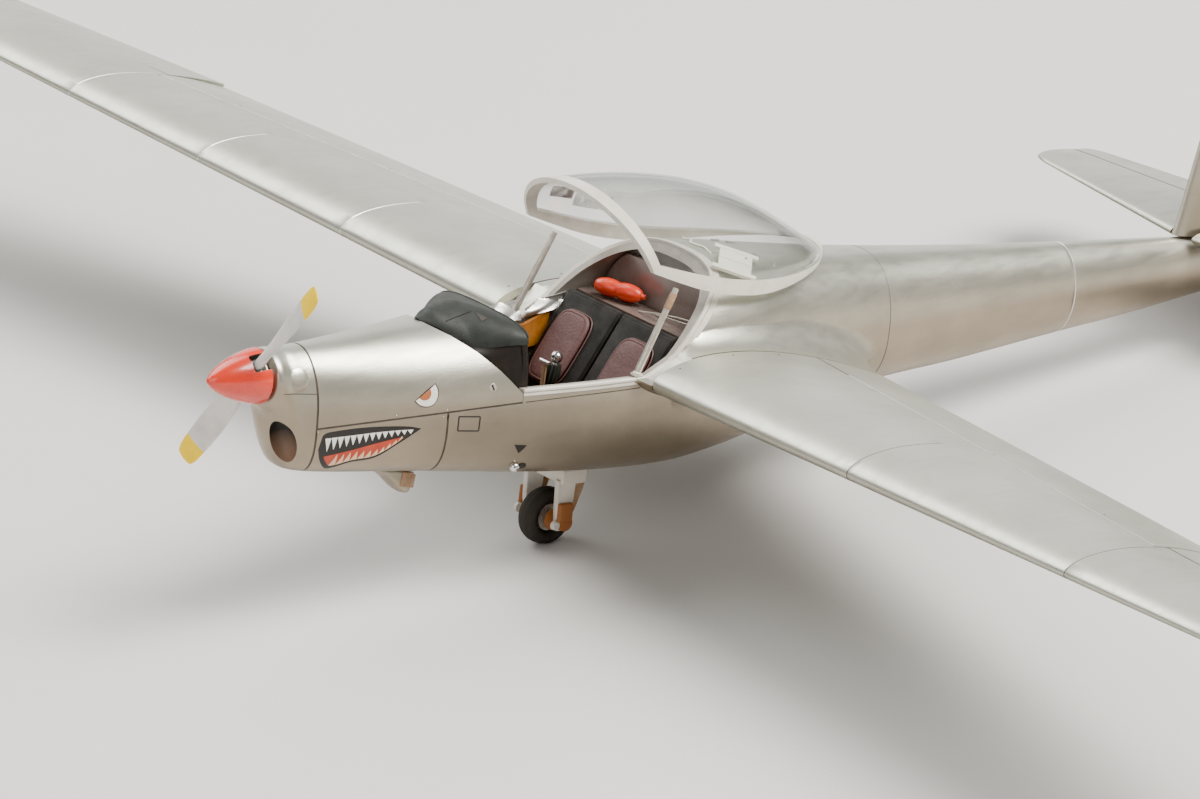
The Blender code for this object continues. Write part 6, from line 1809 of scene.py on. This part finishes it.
    def build_outriggers(self, bench: Bench, wings: Wings) -> None:
        """Leg and small wheel under each wing, standing on the floor of the main wheel."""
        pitch, x = PARKED_PITCH, self.outrigger_x
        radius, _, width = self.outrigger_wheel
        ground = MAIN_AXLE[0] * math.sin(pitch) - MAIN_AXLE[1] * math.cos(pitch) + self.main_wheel[0]
        for side, body in ((Side.PORT, Body.OUTRIGGER_PORT), (Side.STARBOARD, Body.OUTRIGGER_STARBOARD)):
            foot = wings.point(x, self.outrigger_share, False)
            y = foot.y + self.outrigger_reach
            z = (-ground + radius + y * math.sin(pitch)) / math.cos(pitch)
            wheel = Mill.merge([self.tyre((x, y, z), *self.outrigger_wheel),
                                Mill.tint(self.hub(self.outrigger_hub, 1.0, (x, y, z), 32))])
            bench.dressed("outrigger_wheel_" + side.word, Mill.other_side(wheel, side), RUBBER, ROD_GREY,
                          body=body)
            offset = x + width / 2 + 0.35
            rows = [(foot.y, foot.z - 0.15, 0.35, 0.7), (foot.y + 0.3, lerp(foot.z, z, 0.6), 0.3, 0.5),
                    (y, z - 0.4, 0.22, 0.4)]
            leg = Mill.merge([Mill.loft([[Vector((offset + c * w, cy + s * d, cz)) for c, s in circle(16)]
                                         for cy, cz, w, d in rows]),
                              Mill.bar((x - 0.3, y, z), (offset, y, z), 0.18, None, 12)])
            bench.dressed("outrigger_leg_" + side.word, Mill.other_side(leg, side), RIM_WHITE)


@dataclass
class Markings:
    """Painted mouth and eye, the blank placard, the small fittings on the cowls and painted highlights on
    seams, in (y, z).
    """

    gum: Rows = ((13.9, -7.0), (16.9, -6.75), (19.8, -6.5), (22.7, -6.33), (24.6, -6.3))
    lip_top: Rows = ((13.55, -6.65), (14.0, -6.32), (15.3, -6.12), (18.2, -5.85), (21.2, -5.8), (24.0, -5.92),
                     (25.5, -6.2))
    lip_low: Rows = ((13.3, -8.3), (13.75, -9.5), (14.5, -10.5), (15.4, -11.0), (17.7, -10.15), (20.5, -9.65),
                     (22.9, -8.05), (25.5, -6.25))
    tongue_top: Rows = ((14.2, -9.25), (17.2, -8.6), (20.6, -7.75), (23.4, -7.15))
    tongue_low: Rows = ((14.5, -9.75), (15.4, -10.5), (17.7, -9.85), (20.4, -9.35), (22.6, -7.95),
                        (23.5, -7.2))
    lid_fall: Row = (0.58, -0.81)
    placard: Rows = ((30.05, -4.98), (32.7, -5.08), (32.72, -6.8), (30.1, -6.68), (30.05, -4.98))
    drain_line: Rows = ((37.65, -8.75), (39.3, -8.9))
    drain_tip: Row = (38.6, -9.95)
    latch: Row = (34.05, -1.76)
    # bright steel dots at seams: painted highlights where the seams catch light
    glints: Rows = ((28.45, -4.1), (28.1, -4.9), (12.9, -6.2), (22.3, -4.55), (151.6, 3.1), (153.7, 3.1))
    step: Row = (38.95, -11.65)
    step_socket: Row = (40.1, -11.95)

    def build(self, bench: Bench, hull: Fuselage) -> None:
        """Paint both sides."""
        for side in Side:
            self.build_mouth(bench, hull, side)
            self.build_eye(bench, hull, side)
            self.build_fittings(bench, hull, side)

    @staticmethod
    def bent(points: Sequence[Row]) -> list[Vector]:
        """Smooth line through a few points."""
        travel, rows = 0.0, []
        for k, point in enumerate(points):
            travel += (Vector(point) - Vector(points[k - 1])).length if k else 0.0
            rows.append((travel, *point))
        return [Vector(smooth_row(rows, place)) for place in steps(0.0, travel, 60)]

    def strip(self, low: Sequence[Row], top: Sequence[Row]) -> Shape:
        """Shape between two smooth lines."""
        low, top = self.bent(low), self.bent(top)
        return lambda u, v: tuple(along_line(low, u).lerp(along_line(top, u), v))

    @staticmethod
    def tooth(line: Sequence[Row], first: float, last: float, tip: Row) -> Shape:
        """Shape of one curved tooth on a line."""
        root = along_line(line, (first + last) / 2)

        def shape(u: float, v: float) -> Row:
            """Place in the tooth."""
            base = along_line(line, lerp(first, last, u))
            return tuple(root + (base - root) * (1 - v) ** 0.95 + (Vector(tip) - root) * v)
        return shape

    def build_mouth(self, bench: Bench, hull: Fuselage, side: Side) -> None:
        """Toothed mouth of the builder's own drawing, on the lower cowl."""
        for name, low, top, faces, paint, lift in (
                ("mouth_dark_", self.lip_low, self.lip_top, (72, 24), PAINT_BLACK, FILM[0]),
                ("mouth_tongue_", self.tongue_low, self.tongue_top, (56, 10), PAINT_RED, FILM[1])):
            bench.piece(name + side.word, hull.marking(*faces, self.strip(low, top), side, lift), paint)
        # Columns: paint, line, count, first share, last share, height at the front and the back, lean.
        rows = (("upper_teeth_", PAINT_WHITE, self.gum, 14, 0.0, 1.0, (-1.65, -0.5), 0.1),
                ("lower_teeth_", PAINT_CREAM, self.tongue_low, 11, 0.1, 0.99, (1.5, 0.5), 0.2))
        for name, paint, points, count, start, end, heights, lean in rows:
            teeth, line = [], self.bent(points)
            for k in range(count):
                first, last = (lerp(start, end, (k + share) / count) for share in (0.03, 0.97))
                root = along_line(line, (first + last) / 2)
                tip = (root.x + lean, root.y + lerp(*heights, (k / (count - 1)) ** 0.8))
                teeth.append(hull.marking(8, 10, self.tooth(line, first, last, tip), side, FILM[2]))
            bench.piece(name + side.word, Mill.merge(teeth), paint)

    def bowed(self, grow: float) -> Shape:
        """Half-disc under a straight lid, grown by a border."""
        first, last = Vector((24.5 - grow, -2.95 - grow * 0.4)), Vector((26.95 + grow * 0.6, -1.2 + grow))

        def shape(u: float, v: float) -> Row:
            """Place in the half-disc."""
            belly = (1.62 + grow * 1.9) * math.sin(math.pi * min(max(u, 0.0), 1.0)) ** 0.5
            fall = belly * v - grow * 0.8 * math.sin(math.pi * u)
            return tuple(first.lerp(last, u) + Vector(self.lid_fall) * fall)
        return shape

    def iris(self, u: float, v: float) -> Row:
        """Place in the iris, a smaller half-disc hanging from the lid."""
        on_lid = Vector((24.95, -2.62)).lerp(Vector((26.3, -1.68)), u)
        return tuple(on_lid + Vector(self.lid_fall) * 0.78 * math.sin(math.pi * u) ** 0.5 * v)

    def build_eye(self, bench: Bench, hull: Fuselage, side: Side) -> None:
        """Half-closed eye above the seam."""
        for name, shape, faces, paint, lift in (
                ("eye_outline_", self.bowed(0.14), (32, 16), PAINT_DARK_BROWN, FILM[0]),
                ("eye_white_", self.bowed(0.0), (32, 14), PAINT_WHITE, FILM[1]),
                ("eye_iris_", self.iris, (20, 10), PAINT_BROWN, FILM[2])):
            bench.piece(name + side.word, hull.marking(*faces, shape, side, lift), paint)

    def build_fittings(self, bench: Bench, hull: Fuselage, side: Side) -> None:
        """Placard, drain mark, latch, painted seam highlights and step."""
        frame = hull.band(hull.path(self.placard, side, 64), -0.09, 0.09, 0.03, 0.05)
        bench.piece("placard_frame_" + side.word, frame, PAINT_BLACK)
        drain = self.tooth(self.drain_line, 0.0, 1.0, self.drain_tip)
        bench.piece("drain_mark_" + side.word, hull.marking(6, 6, drain, side, 0.03), PAINT_BLACK)
        spot, normal = hull.beside(*self.latch, side)
        ring = Mill.bar(spot - normal * 0.1, spot + normal * 0.06, 0.5, 0.45, 32, 0.03)
        slot = Mill.move(Mill.box((-0.11, -0.36, 0.0), (0.11, 0.36, 0.09), 0.03), seated(spot, normal, 0.4))
        bench.piece("cowl_latch_" + side.word, Mill.merge([ring, Mill.tint(slot)]), ROD_GREY, PAINT_BLACK)
        dots = [Mill.ball(hull.beside(y, z, side)[0], (0.1, 0.1, 0.1), None, 12) for y, z in self.glints]
        bench.piece("seam_glints_" + side.word, Mill.merge(dots), STEEL)
        spot, normal = hull.beside(*self.step, side)
        ball = [Mill.ball(spot + normal * 0.35, (0.6, 0.6, 0.6)), Mill.bar(spot, spot + normal * 0.2, 0.3)]
        bench.piece("step_ball_" + side.word, Mill.merge(ball), STEEL)
        spot, normal = hull.beside(*self.step_socket, side)
        socket = Mill.bar(spot - normal * 0.1, spot + normal * 0.16, 0.65, 0.55, 24, 0.05)
        bench.piece("step_socket_" + side.word, socket, PAINT_BLACK)


@dataclass
class DeckPlate:
    """Pale plate of two halves between two cross strips, on the deck behind the cabin.

    Attributes:
        boxes: Two opposite corners and the rounding of each part, on the plate's own axes.
        hole: Foot and head of the dark disc of painted shade that stands for the plate's hole.
        wire: Points near the wire's path; each is laid on the skin.
        clips: x and y of each clip.
    """

    middle: Row = (5.75, 70.2, 8.95)
    normal: Row = (0.248, 0.071, 0.966)
    turn: float = math.radians(49.6)
    boxes: tuple[tuple[Row, Row, float], ...] = (
        ((-2.0, -2.4, -0.2), (2.0, -0.06, 0.14), 0.05), ((-2.0, 0.06, -0.2), (2.0, 2.4, 0.14), 0.05),
        ((-1.9, -0.2, -0.2), (1.9, 0.2, 0.05), 0.0), ((-2.67, 2.3, -0.2), (2.67, 3.22, 0.2), 0.05),
        ((-2.67, -3.22, -0.2), (2.67, -2.3, 0.2), 0.05))
    hole: Rows = ((1.2, 1.75, 0.0), (1.2, 1.75, 0.155))
    wire: Rows = ((-5.4, 71.4, 9), (-4.2, 70.6, 9), (-3.1, 70.8, 9), (-1.9, 69.6, 9), (0.2, 70.1, 9),
                  (2.4, 69.3, 9))
    clips: Rows = ((-3.4, 74.7), (-2.2, 76.1), (3.1, 75.8), (5.6, 77.2))

    def build(self, bench: Bench, hull: Fuselage) -> None:
        """Make the plate, the wire and the clips beside it."""
        parts = [Mill.box(*box) for box in self.boxes]
        # the hole is a dark disc on the plate: painted shade
        parts.append(Mill.tint(Mill.bar(*self.hole, 0.17, None, 20)))
        lying = UP.rotation_difference(Vector(self.normal)).to_matrix().to_4x4()
        place = Matrix.Translation(self.middle) @ lying @ Matrix.Rotation(self.turn, 4, "Z")
        bench.dressed("deck_plate", Mill.move(Mill.merge(parts), place), PLATE_CREAM, DARK_PAINT_AND_PAINTED_SHADE)
        wire = [hull.land(Vector(p))[0] + UP * 0.1 for p in self.wire]
        bench.piece("deck_wire", Mill.tube(wire, 0.13), PLATE_CREAM)
        clips = [Mill.move(Mill.box((-0.55, -0.22, -0.05), (0.55, 0.22, 0.16), 0.05),
                           seated(*hull.land(Vector((x, y, 9))), 0.7)) for x, y in self.clips]
        bench.piece("deck_clips", Mill.merge(clips), ROD_GREY)


@dataclass
class Studio:
    """Floor, lights and the camera at the photograph's angle.

    Attributes:
        camera_at: Place of the camera on the model's own axes.
        lights: Name, place, size, power and colour of each softbox.
    """

    camera_at: Row = (683.357, -527.737, 269.803)
    azimuth: float = math.radians(51.86)
    elevation: float = math.radians(22.67)
    lens: float = 244.4
    sensor: float = 36.0
    clip: Row = (0.05, 30.0)
    floor_half: float = 6.0
    sky: Row = (0.97, 0.98, 1.0, 1.0)
    sky_strength: float = 0.46
    lights: tuple[tuple[str, Row, float, float, Colour], ...] = (
        ("key_softbox", (0.46, 0.36, 0.86), 0.62, 46.0, (1.0, 0.97, 0.91)),
        ("fill_softbox", (0.3, -1.0, 0.5), 0.8, 7.0, (1.0, 0.98, 0.95)),
        ("rear_softbox", (-1.3, 1.05, 0.5), 1.0, 6.0, (1.0, 1.0, 1.0)),
        ("edge_softbox", (-0.72, -0.12, 0.8), 0.9, 22.0, (1.0, 1.0, 0.96)))

    def build(self, bench: Bench) -> None:
        """Set the stage."""
        self.build_floor()
        self.build_lights()
        self.build_camera(bench)

    def build_floor(self) -> None:
        """Plain pale floor."""
        mesh = bmesh.new()
        bmesh.ops.create_grid(mesh, x_segments=8, y_segments=8, size=self.floor_half)
        data = bpy.data.meshes.new("studio_floor")
        mesh.to_mesh(data)
        mesh.free()
        floor = bpy.data.objects.new("studio_floor", data)
        data.materials.append(FLOOR_PALE.material)
        bpy.context.scene.collection.objects.link(floor)
        floor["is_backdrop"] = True

    def build_lights(self) -> None:
        """Soft daylight, a large key above, a low fill and two lights behind."""
        world = bpy.data.worlds.new("studio_world")
        world.use_nodes = True
        back = world.node_tree.nodes["Background"]
        back.inputs["Color"].default_value = self.sky
        back.inputs["Strength"].default_value = self.sky_strength
        bpy.context.scene.world = world
        bpy.context.scene.view_settings.look = "AgX - Punchy"
        for name, place, size, power, colour in self.lights:
            light = bpy.data.lights.new(name, "AREA")
            light.shape, light.size, light.energy, light.color = "SQUARE", size, power, colour
            made = bpy.data.objects.new(name, light)
            made.location = place
            made.rotation_euler = (-Vector(place)).to_track_quat("-Z", "Y").to_euler()
            bpy.context.scene.collection.objects.link(made)

    def build_camera(self, bench: Bench) -> None:
        """Camera found from the photograph."""
        data = bpy.data.cameras.new("photo_camera")
        data.lens, data.sensor_width = self.lens, self.sensor
        data.clip_start, data.clip_end = self.clip
        camera = bpy.data.objects.new("photo_camera", data)
        back = Vector((math.sin(self.azimuth) * math.cos(self.elevation),
                       -math.cos(self.azimuth) * math.cos(self.elevation), math.sin(self.elevation)))
        camera.location = bench.stance @ Vector(self.camera_at)
        camera.rotation_euler = (-back).to_track_quat("-Z", "Y").to_euler()
        bpy.context.scene.collection.objects.link(camera)
        bpy.context.scene.camera = camera


def corners() -> list[list[float]]:
    """The shown object's box as plain lists."""
    return [list(corner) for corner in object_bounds()]


def main() -> None:
    """Load the frame and build every sub-assembly in order."""
    logging.basicConfig(level=logging.INFO, format="%(name)s %(message)s")
    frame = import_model()
    for item in list(bpy.data.objects):
        if item.name in ("Cube", "Light", "Camera"):
            bpy.data.objects.remove(item)
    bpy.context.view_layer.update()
    bench, hull, nose, wings = Bench(), Fuselage(), Nose(), Wings()
    nose.build(bench, hull)
    wings.build(bench)
    CockpitShell().build(bench, hull, nose, wings)
    Tail().build(bench)
    Canopy().build(bench)
    Propeller().build(bench)
    Cockpit().build(bench, hull, frame)
    Gear().build(bench, wings)
    Markings().build(bench, hull)
    DeckPlate().build(bench, hull)
    Studio().build(bench)


if __name__ == "__main__":
    main()
